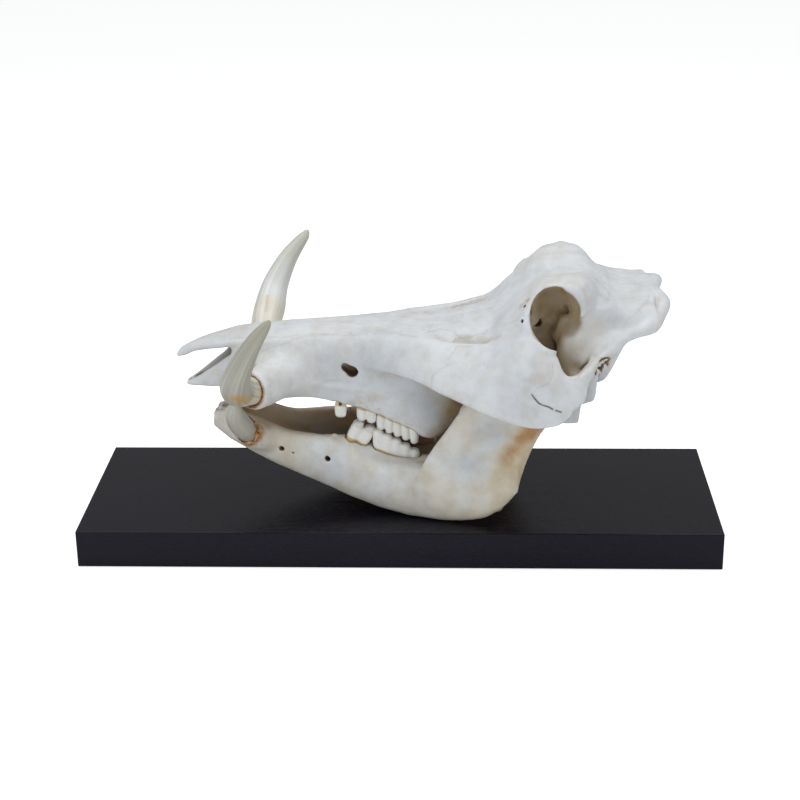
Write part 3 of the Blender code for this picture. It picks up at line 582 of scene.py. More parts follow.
def tooth_clay(tooth, side, step):
    """The tooth of one side as a field, in the skull's own millimetres."""
    up = tooth["up"]
    reach = tooth["length"] / 2
    low = (tooth["x"] - reach - 8, side * tooth["y"] - 10, tooth["z"] - 26)
    high = (tooth["x"] + reach + 10, side * tooth["y"] + 10, tooth["z"] + 26)
    clay = Clay(low, high, step, two_sided=False)
    pitch = tooth["length"] / tooth["lobes"]

    def spot(x, y, height):
        worn = max(height, 0) * tooth["taper"] * (0.5 + x / tooth["length"])
        return (tooth["x"] + x + tooth["lean"] * height, side * tooth["y"] + y,
                tooth["z"] + (height - worn) * up - x * tooth["fall"])

    radius = min(0.5 * pitch + 0.5, 0.3 * tooth["width"])
    for lobe in range(tooth["lobes"]):
        x = (lobe + 0.5) * pitch - reach
        for y in (-1, 1):
            offset = y * (tooth["width"] / 2 - radius)
            top = spot(x, offset, tooth["crown"])
            neck = spot(x, offset, 0.3 * tooth["crown"])
            root = spot(x * 0.92, offset * 0.8, -tooth["root"] + 1.5)
            clay.add(tube([root + (0.8 * radius,), neck + (radius,), top + (0.88 * radius,)],
                          (1, 0, 0), 2 * radius / (pitch + 0.8)), tooth["melt"])
        clay.cut(ball(spot(x, 0, tooth["crown"] + 0.4), (0.26 * pitch, 0.2 * tooth["width"], 1.3)), 0.8)
    if tooth["lobes"] == 1:
        x, y, z = spot(0, 0, -3)
        clay.cut(tube([(x, y - 9, z, 1.5), (x, y + 9, z, 1.5)]), 0.6)
        clay.cut(tube([(x, y - 9, z - 3 * up, 1.6), (x, y + 9, z - 3 * up, 1.6)]), 0.6)
    return clay


# %% [markdown]
# ## From fields to bones
#
# Each field becomes a mesh, thinned to under 200,000 triangles. Real bone is never as smooth as
# a blend, so its points then move a little along their normals: slow swells, then a fine grain.
# The seams between the bones of the skull are engraved the same way, where the mesh is first
# made finer. The field is then read again just above and below each point, which tells how deep
# in a hollow or how near an edge it lies. Those two numbers are kept on the mesh, and the
# materials use them to know where dirt and painted shade go and where handling has polished.

# %% Noise and engraving
def ripple(points, size, seed):
    """Smooth noise between -1 and 1 at each point, with waves about size millimetres long."""
    shift = Vector((seed * 31.7, seed * 17.3, seed * 5.9))
    return np.array([noise.noise(Vector(point) / size + shift) for point in points])


def to_lines(points, lines, flat):
    """How far each point is from the nearest of several lines, seen along the flat axis."""
    keep = [axis for axis in range(3) if axis != flat]
    seen = points[:, keep]
    nearest = np.full(len(points), 1e3)
    for line in lines:
        route = smooth_path(np.array(line, float), 2.0)
        low, high = route.min(0) - 8, route.max(0) + 8
        near = np.all((seen > low) & (seen < high), axis=1)
        spots = seen[near]
        best = np.full(len(spots), 1e3)
        for a, b in zip(route[:-1], route[1:]):
            run = b - a
            t = np.clip(((spots - a) @ run) / (run @ run + 1e-9), 0, 1)
            best = np.minimum(best, np.linalg.norm(spots - a - t[:, None] * run, axis=1))
        nearest[near] = np.minimum(nearest[near], best)
    return nearest


def seam_distance(points, normals, seams):
    """How far each point is from the nearest seam. A seam is (lines, flat axis, facing, least and
    most of each coordinate), and counts only on a surface that faces its way."""
    nearest = np.full(len(points), 1e3)
    mirrored = on_right(points)
    for lines, flat, facing, low, high in seams:
        away = to_lines(mirrored, lines, flat)
        turned = normals.copy()
        turned[:, 1] *= np.sign(points[:, 1] + 1e-9)
        fits = (turned @ np.array(facing, float) > 0.25)
        fits &= np.all((mirrored > low) & (mirrored < high), axis=1)
        nearest = np.where(fits, np.minimum(nearest, away), nearest)
    return nearest


# %% Mesh from a field
def make_mesh(name, points, faces):
    mesh = bpy.data.meshes.new(name)
    mesh.from_pydata((np.asarray(points) * MM).tolist(), [], faces)
    mesh.update()
    return mesh


def coordinates(mesh):
    found = np.empty(len(mesh.vertices) * 3)
    mesh.vertices.foreach_get("co", found)
    return found.reshape(-1, 3) / MM


def normals_of(mesh):
    found = np.empty(len(mesh.vertices) * 3)
    mesh.vertex_normals.foreach_get("vector", found)
    return found.reshape(-1, 3)


def write_points(mesh, points):
    mesh.vertices.foreach_set("co", (points * MM).ravel())
    mesh.update()


def write_mask(mesh, name, values):
    layer = mesh.attributes.new(name, "FLOAT", "POINT")
    layer.data.foreach_set("value", np.ascontiguousarray(values, dtype=np.float32))


def piece_from(clay, name, triangles):
    """An object with the field's surface, thinned to about the given number of triangles."""
    points, quads = clay.surface()
    piece = bpy.data.objects.new(name, make_mesh(name, points, quads.tolist()))
    bpy.context.scene.collection.objects.link(piece)
    thin = piece.modifiers.new("Thin out", "DECIMATE")
    thin.ratio = min(1.0, triangles / (2 * len(quads)))
    seen = piece.evaluated_get(bpy.context.evaluated_depsgraph_get())
    mesh = bpy.data.meshes.new_from_object(seen)
    mesh.name = name
    piece.modifiers.clear()
    piece.data = mesh
    return piece


def refine(mesh, chosen, longest):
    """Splits the edges longer than the given length, in millimetres, between chosen points."""
    work = bmesh.new()
    work.from_mesh(mesh)
    edges = [edge for edge in work.edges
             if (chosen[edge.verts[0].index] or chosen[edge.verts[1].index])
             and edge.calc_length() > longest * MM]
    bmesh.ops.subdivide_edges(work, edges=edges, cuts=1)
    bmesh.ops.triangulate(work, faces=[face for face in work.faces if len(face.verts) > 3])
    work.to_mesh(mesh)
    work.free()
    mesh.update()


def depth_masks(mesh, clay):
    """How enclosed each point is, near by and farther off, and how near an edge, from 0 to 1."""
    points, normals = coordinates(mesh), normals_of(mesh)
    near = 1 - np.clip(clay.sample(points + 3 * normals) / 3, 0, 1)
    far = 1 - np.clip(clay.sample(points + 9 * normals) / 9, 0, 1)
    edge = 1 - np.clip(-clay.sample(points - 3 * normals) / 3, 0, 1)
    write_mask(mesh, "cranny", near)
    write_mask(mesh, "hollow", far)
    write_mask(mesh, "edge", edge)
    print(mesh.name, "points:", len(points), "hollow:", round(float(far.mean()), 3))


# %% [markdown]
# ## How open to the air each point is
#
# Deep in the eye socket or between the jaws the bone is painted brown and dark: partly the dirt that
# stays where neither sun nor brush gets, partly painted shade. The field can't tell this from a few
# millimetres away. So rays are cast out from the surface, and the share of them that meets no bone
# is kept on the mesh as a third number. One more mask marks the sides of the jaw that face the
# tongue, which are painted brown as shade.

# %% Rays for the openness
def openness(piece, shades, reach=90, rays=20, every=4):
    """The share of its outlook that nothing blocks within the reach in millimetres, for each point.
    Rays are cast from every few points only, and the rest take the mean of their neighbours."""
    points, normals = coordinates(piece.data), normals_of(piece.data)
    corners, faces = [], []
    for shade in shades:
        start = len(corners)
        corners += (coordinates(shade.data) * MM).tolist()
        faces += [[start + corner for corner in face.vertices] for face in shade.data.polygons]
    solid = BVHTree.FromPolygons(corners, faces)
    turn = np.arange(rays) * 2.39996
    height = np.sqrt(1 - (np.arange(rays) + 0.5) / rays)
    level = np.sqrt(1 - height ** 2)
    every = every
    chosen = np.arange(0, len(points), every)
    nearby = KDTree(len(chosen))
    seen = np.empty(len(chosen))
    for number, index in enumerate(chosen):
        normal = Vector(normals[index])
        across = normal.orthogonal().normalized()
        beyond = normal.cross(across)
        start = (Vector(points[index]) + normal * 0.6) * MM
        clear = 0
        for t, h, r in zip(turn, height, level):
            way = normal * h + across * (r * math.cos(t)) + beyond * (r * math.sin(t))
            clear += solid.ray_cast(start, way, reach * MM)[0] is None
        seen[number] = clear / rays
        nearby.insert(Vector(points[index]), number)
    nearby.balance()
    smooth = np.array([np.mean([seen[found] for _, found, _ in nearby.find_n(Vector(point), 5)])
                       for point in points])
    print(piece.name, "mean openness:", round(float(smooth.mean()), 3))
    return smooth


# %% Teeth first, because the bones need their sockets
teeth = {}
for kind, tooth in TEETH.items():
    for side, word in ((-1, "left"), (1, "right")):
        name = kind + "_" + word
        clay = tooth_clay(tooth, side, TOOTH_STEP)
        piece = piece_from(clay, name.replace("_", "-"), 9000 * tooth["lobes"] ** 0.5)
        points, normals = coordinates(piece.data), normals_of(piece.data)
        write_points(piece.data, points + normals * 0.1 * ripple(points, 3.0, SEED)[:, None])
        depth_masks(piece.data, clay)
        height = (points[:, 2] - tooth["z"] + (points[:, 0] - tooth["x"]) * tooth["fall"]) * tooth["up"]
        write_mask(piece.data, "crown", height / tooth["crown"])
        piece.data.shade_smooth()
        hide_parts(name)
        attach(piece, "root")
        teeth[name] = (piece, clay)
print("teeth:", len(teeth))


# %% Tusk centre lines
UPPER_TUSK_LEFT = [(-120, 38, 162, 13), (-136, 62, 162, 14.5), (-141.5, 90, 173, 15),
                   (-141.5, 112, 186, 14.3),
                   (-137, 128, 203, 11.8), (-127.5, 138, 224, 9.3), (-117.5, 142, 241, 7),
                   (-109.5, 143, 252, 4.6), (-106, 143, 256.5, 2.4)]
UPPER_TUSK_RIGHT = [(-118, 38, 162, 13), (-134, 62, 162, 14.5), (-137, 90, 172, 14.8),
                    (-134.5, 112, 185, 15.5),
                    (-130, 128, 203, 13.2), (-118.5, 138, 226, 9.8), (-107, 141, 242, 7),
                    (-100, 142, 250.5, 5), (-97.5, 142, 255, 2.8)]
LOWER_TUSK = [(-136, 36, 106, 9), (-143, 44, 115, 10.5), (-149, 51, 126, 10.5), (-151.5, 57, 137, 8.8),
              (-150, 61, 146, 5.8), (-149, 62, 151, 2.2)]
upper_tusk = tube(UPPER_TUSK_LEFT)
lower_tusk = tube(LOWER_TUSK)
for label, line in (("upper left", UPPER_TUSK_LEFT), ("upper right", UPPER_TUSK_RIGHT),
("lower", LOWER_TUSK)):
    steps = np.diff(np.array(line)[:, :3], axis=0)
    print(label, "tusk's centre line, mm:", round(float(np.linalg.norm(steps, axis=1).sum())))


# %% Sockets
def socket_shape(clay, gap):
    """A tooth's field as a shape to carve with, larger all round by the gap."""
    corners = np.array([[axis[0] for axis in clay.axes], [axis[-1] for axis in clay.axes]])

    def distance(x, y, z):
        x, y, z = np.broadcast_arrays(x, y, z)
        points = np.column_stack([x.ravel(), y.ravel(), z.ravel()])
        return (clay.sample(points) - gap).reshape(x.shape)

    return corners, distance


def grown(shape, gap):
    corners, distance = shape
    return corners, lambda x, y, z: distance(x, y, z) - gap


def to_teeth(points, jaw):
    """How far each point is from the nearest tooth of the upper or lower jaw."""
    mirrored = on_right(points)
    nearest = np.full(len(points), FAR)
    for kind in TEETH:
        if kind.startswith(jaw):
            corners, distance = socket_shape(teeth[kind + "_right"][1], 0)
            near = np.all((mirrored > corners[0]) & (mirrored < corners[1]), axis=1)
            nearest[near] = np.minimum(nearest[near], distance(*mirrored[near].T))
    return nearest


TUSK_GAP = 0.5
for kind in TEETH:
    bone = cranium_clay if kind.startswith("upper") else mandible_clay
    bone.cut(socket_shape(teeth[kind + "_right"][1], TOOTH_GAP), 0.4)
cranium_clay.cut(grown(upper_tusk, TUSK_GAP), 0.8)
mandible_clay.cut(grown(lower_tusk, TUSK_GAP), 0.8)
print("sockets:", 2 * len(TEETH), "for teeth, 4 for tusks")

# %% [markdown]
# ## Seams, grain and pits
#
# On a grown animal the bones of the skull are knitted along wandering lines. They are given here
# as lines seen from the side or from above, in the places where the photograph shows them, and
# engraved a quarter of a millimetre deep. Where it can't show them, on the top and the underside, they
# follow the anatomy of pigs.

# %% Where the seams run
SIDE = 1
TOP = 2
ANY_LOW = (-300, 0, 0)
ANY_HIGH = (300, 150, 300)

nasal_seam = [(-150, 198.5), (-122, 200.3), (-103, 201.3), (-80, 203.3), (-59, 204.1), (-43.8, 204.9),
              (-28.5, 206.3), (-14.7, 207.2), (-3.2, 208), (13.4, 208.4), (31.6, 208.8), (43.2, 209.6),
              (52.5, 208.7), (58.8, 206.8)]
cheek_seam = [(58.8, 206.8), (56.5, 207), (52.6, 205.2), (49.8, 201.5), (46.4, 198.2), (46.4, 195.4),
              (44.7, 192.1), (39.1, 189.6), (33.5, 185.8), (31.6, 181.7), (31.6, 174)]
tear_seam = [(58.8, 206.8), (72, 211), (84.5, 215), (91, 220.5), (96.4, 226), (103.5, 230.9),
             (110.3, 235.5),
             (117.9, 240.3)]
arch_seam = [(118.9, 182.8), (124.9, 187.4), (129.3, 189.1), (134.9, 191.3), (137, 195.1), (138.8, 199.8),
             (137.9, 206)]
wing_seam = [(204.5, 230.2), (207, 232.5), (210.9, 235.4), (214, 236.8), (219.2, 240.5), (228.8, 244.4)]
front_seam = [(-132, 182), (-128, 187), (-121, 191), (-112, 194), (-100, 198), (-88, 202)]
midline = [(-216, 0.2), (-160, 0.1), (-80, 0.3), (0, 0.1), (60, 0.4), (120, 0.2), (170, 0)]
crown_seam = [(58, 0), (60, 8), (56, 16), (60, 25), (57, 34)]
nose_seam = [(-150, 26), (-110, 25), (-60, 25), (0, 22), (30, 21), (57, 16)]
rear_seam = [(188, 0), (186, 10), (190, 20), (187, 30), (192, 42), (190, 54)]
palate_seam = [(-150, 0.2), (-60, 0.1), (40, 0.2)]
palate_cross = [(22, 0), (24, 8), (20, 15), (26, 22)]
CRANIUM_SEAMS = [
    ([nasal_seam, cheek_seam, tear_seam, front_seam], SIDE, (0, 1, 0.15), ANY_LOW, ANY_HIGH),
    ([arch_seam], SIDE, (0, 1, 0), (100, 90, 150), (160, 140, 215)),
    ([wing_seam], SIDE, (0, 1, 0.5), (190, 20, 200), ANY_HIGH),
    ([midline, crown_seam, rear_seam], TOP, (0, 0, 1), (-300, 0, 170), ANY_HIGH),
    ([nose_seam], TOP, (0, 0, 1), (-300, 0, 190), ANY_HIGH),
    ([palate_seam, palate_cross], TOP, (0, 0, -1), (-300, 0, 100), (300, 150, 165)),
]
CRACKS = [([[(120, 182.1), (123.8, 178), (127.1, 174.7), (133.8, 172.3), (139.5, 169), (146, 166)]],
           SIDE, (0, 1, 0), (100, 90, 150), (160, 140, 200))]
GROOVES = [([[(158, 190.5), (166, 197.5), (174.2, 204), (185, 212), (192, 216.5)]],
            SIDE, (0.2, 1, 0), (150, 60, 180), (215, 125, 225)),
           ([[(-80, 156), (-71, 160.5), (-59, 164), (-50.8, 164.8), (-43, 164.3), (-35.4, 163),
              (-29, 161.5)]],
            SIDE, (0, 1, 0), (-90, 20, 140), (-10, 80, 175)),
           ([[(110, 26), (96, 24), (80, 21), (50, 18), (20, 16), (-20, 15)]],
            TOP, (0, 0, 1), (-60, 0, 190), (120, 60, 260))]
JAW_SEAMS = [([[(-180, 0.3), (-100, 0.2)]], TOP, (0, 0, 1), (-200, 0, 60), (0, 30, 140))]
print("seam lines:", sum(len(lines) for lines, *_ in CRANIUM_SEAMS + JAW_SEAMS))


# %% Soft patches on the surface
PATCH_CORE = 0.65


def patches(points, places):
    """A soft mask round each (point, reach, strength) or (point, reach, strength, point), which is
    a patch drawn out from the first point to the second, on both sides of the head."""
    mirrored = on_right(points)
    mask = np.zeros(len(points))
    for start, reach, strength, *end in places:
        start = np.array(start, float)
        run = np.array(end[0], float) - start if end else np.zeros(3)
        t = np.clip((mirrored - start) @ run / (run @ run + 1e-9), 0, 1)
        away = np.linalg.norm(mirrored - start - t[:, None] * run, axis=1)
        mask = np.maximum(mask, strength * np.exp(-(away / (PATCH_CORE * reach)) ** 2))
    return mask


print("a patch fades to a tenth at", round(PATCH_CORE * math.sqrt(math.log(10)), 2), "of its reach")


# %% Sculpting a bone's mesh, with depths in millimetres
SEAM_DEPTH, CRACK_DEPTH, GROOVE_DEPTH, PIT_DEPTH, FRILL = 0.25, 1.3, 0.5, 1.8, 0.6
SEAM_WIDTH, CRACK_WIDTH, GROOVE_WIDTH = 0.5, 0.6, 1.6
SPLIT_REACH = 2.2
SPLIT_LENGTHS = (1.3, 0.8)
SOCKET_CALM = 2.5


def sculpt(piece, clay, jaw, tusk, seams, cracks=(), grooves=(), spongy=(), stains_and_shade=(), cool_and_shade=()):
    """Engraves the seams, adds swells, grain and pits, and keeps a mask of each."""
    mesh = piece.data
    for longest in SPLIT_LENGTHS:
        points, normals = coordinates(mesh), normals_of(mesh)
        wander = np.column_stack([ripple(points, 5.0, SEED + k) for k in range(3)])
        away = np.minimum(seam_distance(points + wander, normals, seams),
                          seam_distance(points, normals, cracks))
        refine(mesh, away < SPLIT_REACH, longest)
    points, normals = coordinates(mesh), normals_of(mesh)
    wander = np.column_stack([ripple(points, 5.0, SEED + k) for k in range(3)])
    wander += np.column_stack([ripple(points, 2.0, SEED + 4 + k) for k in range(3)]) * 0.5
    seam = np.exp(-(seam_distance(points + wander, normals, seams) / SEAM_WIDTH) ** 2)
    crack = np.exp(-(seam_distance(points + 0.3 * wander, normals, cracks) / CRACK_WIDTH) ** 2)
    groove = np.exp(-(seam_distance(points, normals, grooves) / GROOVE_WIDTH) ** 2)
    mirrored = on_right(points)
    at_teeth = to_teeth(points, jaw)
    at_tusk = tusk[1](*mirrored.T)
    swell = 0.45 * ripple(points, 26.0, SEED) + 0.22 * ripple(points, 11.0, SEED + 1)
    grain = 0.1 * ripple(points * (0.45, 1, 1), 3.2, SEED + 2) + 0.06 * ripple(points, 1.9, SEED + 3)
    rough = patches(points, spongy)
    pits = np.clip(ripple(points, 2.4, SEED + 8) - 0.1, 0, 1) * rough
    frill = np.exp(-((at_tusk - 2.2) / 1.6) ** 2) * ripple(points, 2.6, SEED + 9)
    lift = swell + grain - SEAM_DEPTH * seam - CRACK_DEPTH * crack - GROOVE_DEPTH * groove
    lift += FRILL * frill - PIT_DEPTH * pits
    lift *= np.clip(np.minimum(at_teeth, at_tusk) / SOCKET_CALM, 0, 1)
    write_points(mesh, points + normals * lift[:, None])
    write_mask(mesh, "seam", np.maximum(seam * 0.8, groove * 0.35))
    write_mask(mesh, "crack", crack)
    write_mask(mesh, "spongy", rough)
    # The stain mask also carries a few patches of painted shade.
    write_mask(mesh, "stain", patches(points, stains_and_shade))
    # The cool mask is partly a cool tint and partly painted shade.
    write_mask(mesh, "cool_and_shade", patches(points, cool_and_shade))
    # Painted shade: the sides of the lower jaw that face the tongue, more so towards the back, are marked
    # to be turned brown.
    inward = -normals[:, 1] * np.sign(points[:, 1]) * (jaw == "lower")
    behind = 0.35 + 0.65 * np.clip((points[:, 0] + 105) / 60, 0, 1)
    write_mask(mesh, "inner", np.clip(1.4 * inward, 0, 1) * behind)
    write_mask(mesh, "gum", np.exp(-(np.maximum(at_teeth, 0) / 1.3) ** 2))
    write_mask(mesh, "socket", np.exp(-(np.maximum(at_tusk - 1.9, 0) / 0.6) ** 2))
    depth_masks(mesh, clay)
    mesh.shade_smooth()
    print(piece.name, "triangles:", sum(len(face.vertices) - 2 for face in mesh.polygons))


# %% The two bones
CRANIUM_SPONGY = [((176, 94, 190), 9, 0.9), ((185, 90, 198), 9, 1.0), ((168, 98, 184), 6, 0.6),
                  ((122, 112, 190), 14, 0.4), ((-28, 46, 148), 10, 0.4), ((116, 84, 226), 9, 0.3),
                  ((-128, 62, 162), 22, 0.25), ((-56, 38, 141), 6, 0.5, (40, 44, 122))]
# Stains; the patch in the temple's hollow at (177, 62, 225) is painted shade.
CRANIUM_STAINS_AND_SHADE = [((176, 95, 193), 9, 0.9, (186, 90, 201)), ((-22, 48, 150), 8, 0.35),
                  ((134, 39, 248), 5, 0.8), ((160, 34, 231), 6, 0.8), ((158, 88, 196), 8, 0.5),
                  ((-30, 45, 136), 4, 0.7), ((-43, 44, 143), 4, 0.6), ((-150, 0, 188), 26, 0.4),
                  ((-180, 0, 182), 22, 0.3), ((158, 72, 205), 28, 0.4), ((177, 62, 225), 22, 0.4),
                  ((146, 46, 240), 34, 0.5), ((57, 40, 143), 18, 1.0), ((49, 42, 135), 12, 0.8)]
# Cool grey-blue patches: partly the bone's own cool tint, and partly painted shade, as on the plate behind
# the arch and under the cheek.
CRANIUM_COOL_AND_SHADE = [((190, 70, 238), 34, 0.5), ((-20, 45, 185), 40, 0.5), ((-60, 30, 175), 30, 0.5),
                ((110, 112, 180), 30, 0.4), ((178, 62, 176), 20, 1.0), ((30, 48, 148), 34, 0.9),
                ((165, 50, 150), 24, 1.0)]
JAW_SPONGY = [((-174, 8, 117), 14, 0.8), ((-62, 36, 106), 9, 0.6), ((104, 78, 62), 16, 0.25)]
# Stains; the broad patch at the front of the jaw at (-112, 32, 104) is painted shade under the tusk.
JAW_STAINS_AND_SHADE = [((130, 80, 137), 19, 1.0, (112, 80, 119)), ((112, 80, 119), 18, 0.95, (99, 81, 100)),
              ((99, 81, 100), 17, 0.55, (92, 81, 80)), ((122, 78, 118), 18, 0.6, (108, 80, 88)),
              ((104, 80, 108), 28, 0.25), ((-112, 32, 104), 34, 0.35),
              ((100, 78, 66), 12, 0.45, (84, 76, 46)), ((84, 76, 44), 10, 0.5, (50, 66, 36)),
              ((96, 78, 132), 12, 0.2, (60, 78, 110)), ((-58, 38, 100), 5, 0.6), ((-44, 40, 97), 4, 0.5),
              ((-30, 44, 92), 6, 0.4, (40, 52, 88))]
# Cool grey-blue patches: partly the bone's own cool tint, and partly painted shade on the upright branch
# under the cheekbone.
JAW_COOL_AND_SHADE = [((66, 79, 96), 24, 0.7), ((88, 79, 128), 30, 0.8), ((-60, 45, 78), 26, 0.4),
            ((20, 68, 62), 30, 0.4)]

cranium = piece_from(cranium_clay, "cranium-bone", 125000)
sculpt(cranium, cranium_clay, "upper", upper_tusk, CRANIUM_SEAMS, CRACKS, GROOVES,
       CRANIUM_SPONGY, CRANIUM_STAINS_AND_SHADE, CRANIUM_COOL_AND_SHADE)
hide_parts("cranium")
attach(cranium, "root")

mandible = piece_from(mandible_clay, "jaw-bone", 80000)
sculpt(mandible, mandible_clay, "lower", lower_tusk, JAW_SEAMS, (), (), JAW_SPONGY, JAW_STAINS_AND_SHADE, JAW_COOL_AND_SHADE)
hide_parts("mandible")
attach(mandible, "root")

for piece in (cranium, mandible):
    # How open each point is sets where dirt and painted shade go.
    outlook = openness(piece, (cranium, mandible))
    # The nose's narrow slot is kept from the darkest painted shade and the tan.
    at_nose = np.clip((-coordinates(piece.data)[:, 0] - 120) / 30, 0, 1) * (piece is cranium)
    write_mask(piece.data, "open", np.maximum(outlook, 0.55 * at_nose))

# %% [markdown]
# ## Finishes
#
# Old bleached bone is not one white. It is chalky and cool on broad faces, warmer and slightly
# polished on edges, grey-brown where dirt has settled, and orange-brown where fat or soil has
# stained it. The grey-brown and dark brown in crannies and hollows are partly dirt and partly
# painted shade, and some of the cool and stained patches are painted shade. Effects that both
# bones, the teeth and the tusks need are shader node groups: one lays dirt and painted shade in
# crannies and lifts edges, and one makes the fibrous grain. Each material places them with its
# own colours and sizes.

# %% Helpers for node trees
def feed(tree, socket, value):
    """Links a socket to another's output, or gives it a value of its own."""
    if isinstance(value, bpy.types.NodeSocket):
        tree.links.new(value, socket)
    else:
        socket.default_value = value


def put(tree, kind, inputs=(), **settings):
    """Adds a node with its settings and its inputs, by name or number."""
    made = tree.nodes.new(kind)
    for key, value in settings.items():
        setattr(made, key, value)
    for key, value in dict(inputs).items():
        feed(tree, made.inputs[key], value)
    return made


def sums(tree, operation, *values, clamp=False):
    return put(tree, "ShaderNodeMath", enumerate(values), operation=operation, use_clamp=clamp).outputs[0]


def blend(tree, factor, a, b, how="MIX"):
    return put(tree, "ShaderNodeMix", {0: factor, 6: a, 7: b}, data_type="RGBA", blend_type=how,
               clamp_factor=True).outputs[2]


def speckle(tree, place, scale, detail=3.0, rough=0.55):
    """Noise between about 0 and 1. The scale is in patches for each metre."""
    return put(tree, "ShaderNodeTexNoise", {"Vector": place, "Scale": scale, "Detail": detail,
                                            "Roughness": rough}).outputs["Fac"]


def spread(tree, value, low, high, to_low=0.0, to_high=1.0):
    limits = {"Value": value, "From Min": low, "From Max": high, "To Min": to_low, "To Max": to_high}
    return put(tree, "ShaderNodeMapRange", limits, clamp=True).outputs["Result"]


def mask(tree, name):
    return put(tree, "ShaderNodeAttribute", attribute_name=name).outputs["Fac"]


def new_group(name, inputs, outputs):
    """An empty shader group with (name, kind, value) inputs and (name, kind) outputs."""
    tree = bpy.data.node_groups.new(name, "ShaderNodeTree")
    for label, kind, value in inputs:
        socket = tree.interface.new_socket(label, in_out="INPUT", socket_type="NodeSocket" + kind)
        socket.default_value = value
    for label, kind in outputs:
        tree.interface.new_socket(label, in_out="OUTPUT", socket_type="NodeSocket" + kind)
    return tree, tree.nodes.new("NodeGroupInput").outputs, tree.nodes.new("NodeGroupOutput").inputs


def place_group(tree, group, inputs):
    made = tree.nodes.new("ShaderNodeGroup")
    made.node_tree = group
    for key, value in inputs.items():
        feed(tree, made.inputs[key], value)
    return made.outputs


# %% A group for bone and ivory grain
grain_group, given, gives = new_group(
    "fibrous_grain",
    [("Place", "Vector", (0, 0, 0)), ("Along", "Vector", (0.3, 1, 1)), ("Fineness", "Float", 900.0),
     ("Pores", "Float", 0.5)],
    [("Mottle", "Float"), ("Fine", "Float"), ("Height", "Float")])
drawn_out = put(grain_group, "ShaderNodeVectorMath", {0: given["Place"], 1: given["Along"]},
                operation="MULTIPLY").outputs[0]
fibres = speckle(grain_group, drawn_out, given["Fineness"], 4.0, 0.6)
coarse = sums(grain_group, "MULTIPLY", given["Fineness"], 0.06)
mottle = speckle(grain_group, given["Place"], coarse, 5.0, 0.6)
pores = put(grain_group, "ShaderNodeTexVoronoi", {"Vector": given["Place"], "Scale": given["Fineness"]})
pore = spread(grain_group, pores.outputs["Distance"], 0.05, 0.28)
where = spread(grain_group, mottle, 0.5, 0.62)
holes = sums(grain_group, "MULTIPLY", sums(grain_group, "SUBTRACT", 1.0, pore), where)
holes = sums(grain_group, "MULTIPLY", holes, given["Pores"])
feed(grain_group, gives["Mottle"], mottle)
feed(grain_group, gives["Fine"], fibres)
feed(grain_group, gives["Height"], sums(grain_group, "SUBTRACT", fibres, holes))
print("grain group:", len(grain_group.nodes), "nodes")

# %% A group for dirt and painted shade in hollows, and wear on edges
dirt_shade_wear_group, given, gives = new_group(
    "dirt_shade_and_wear",
    [("Colour", "Color", (1, 1, 1, 1)), ("Dirt and shade", "Color", (0.2, 0.15, 0.1, 1)), ("Mottle", "Float", 0.5),
     ("Cranny", "Float", 0.0), ("Hollow", "Float", 0.0), ("Open", "Float", 1.0), ("Edge", "Float", 0.0),
     ("Amount", "Float", 0.5)],
    [("Colour", "Color"), ("Worn", "Float")])
loose = spread(dirt_shade_wear_group, given["Mottle"], 0.35, 0.65, 0.6, 1.2)
# Dirt and painted shade collect in the crannies, patchy with the mottle.
cranny_dirt_and_shade = sums(dirt_shade_wear_group, "MULTIPLY", spread(dirt_shade_wear_group, given["Cranny"], 0.25, 0.95), loose)
cranny_dirt_and_shade = sums(dirt_shade_wear_group, "MULTIPLY", cranny_dirt_and_shade, given["Amount"], clamp=True)
tan = blend(dirt_shade_wear_group, given["Mottle"], given["Dirt and shade"], (0.56, 0.4, 0.19, 1))
dirty_and_shaded = blend(dirt_shade_wear_group, cranny_dirt_and_shade, given["Colour"], given["Dirt and shade"])
# Shut-in places turn tan, partly as dirt and partly as painted shade.
shut_in = sums(dirt_shade_wear_group, "MULTIPLY", spread(dirt_shade_wear_group, given["Open"], 0.6, 0.25), given["Amount"],
               clamp=True)
dirty_and_shaded = blend(dirt_shade_wear_group, shut_in, dirty_and_shaded, tan)
# Painted shade: the most shut-in places and the deepest hollows go nearly black-brown.
deep = sums(dirt_shade_wear_group, "MAXIMUM", spread(dirt_shade_wear_group, given["Open"], 0.3, 0.06),
            spread(dirt_shade_wear_group, given["Hollow"], 0.5, 0.8))
dirty_and_shaded = blend(dirt_shade_wear_group, sums(dirt_shade_wear_group, "MULTIPLY", deep, 0.9), dirty_and_shaded, (0.085, 0.045, 0.02, 1))
worn = spread(dirt_shade_wear_group, given["Edge"], 0.2, 0.7)
lifted = blend(dirt_shade_wear_group, sums(dirt_shade_wear_group, "MULTIPLY", worn, 0.2), dirty_and_shaded, (0.88, 0.9, 0.91, 1))
feed(dirt_shade_wear_group, gives["Colour"], lifted)
feed(dirt_shade_wear_group, gives["Worn"], worn)
print("wear group:", len(dirt_shade_wear_group.nodes), "nodes")


# %% Bone
INNER_SHADE_BROWN = (0.25, 0.135, 0.05, 1)
PALE_STAIN_AND_SHADE, STAIN_DEEP = (0.55, 0.44, 0.24, 1), (0.4, 0.2, 0.05, 1)
SPONGE_BROWN = (0.34, 0.2, 0.1, 1)
SEAM_GREY = (0.33, 0.31, 0.3, 1)
CRACK_DARK = (0.07, 0.045, 0.03, 1)
GUM_BROWN = (0.2, 0.1, 0.04, 1)
CRUST_DARK, CRUST_BRIGHT = (0.16, 0.06, 0.015, 1), (0.66, 0.27, 0.045, 1)


def start_material(name):
    look = bpy.data.materials.new(name)
    look.use_nodes = True
    tree = look.node_tree
    place = tree.nodes.new("ShaderNodeTexCoord").outputs["Object"]
    return look, tree, tree.nodes["Principled BSDF"], place


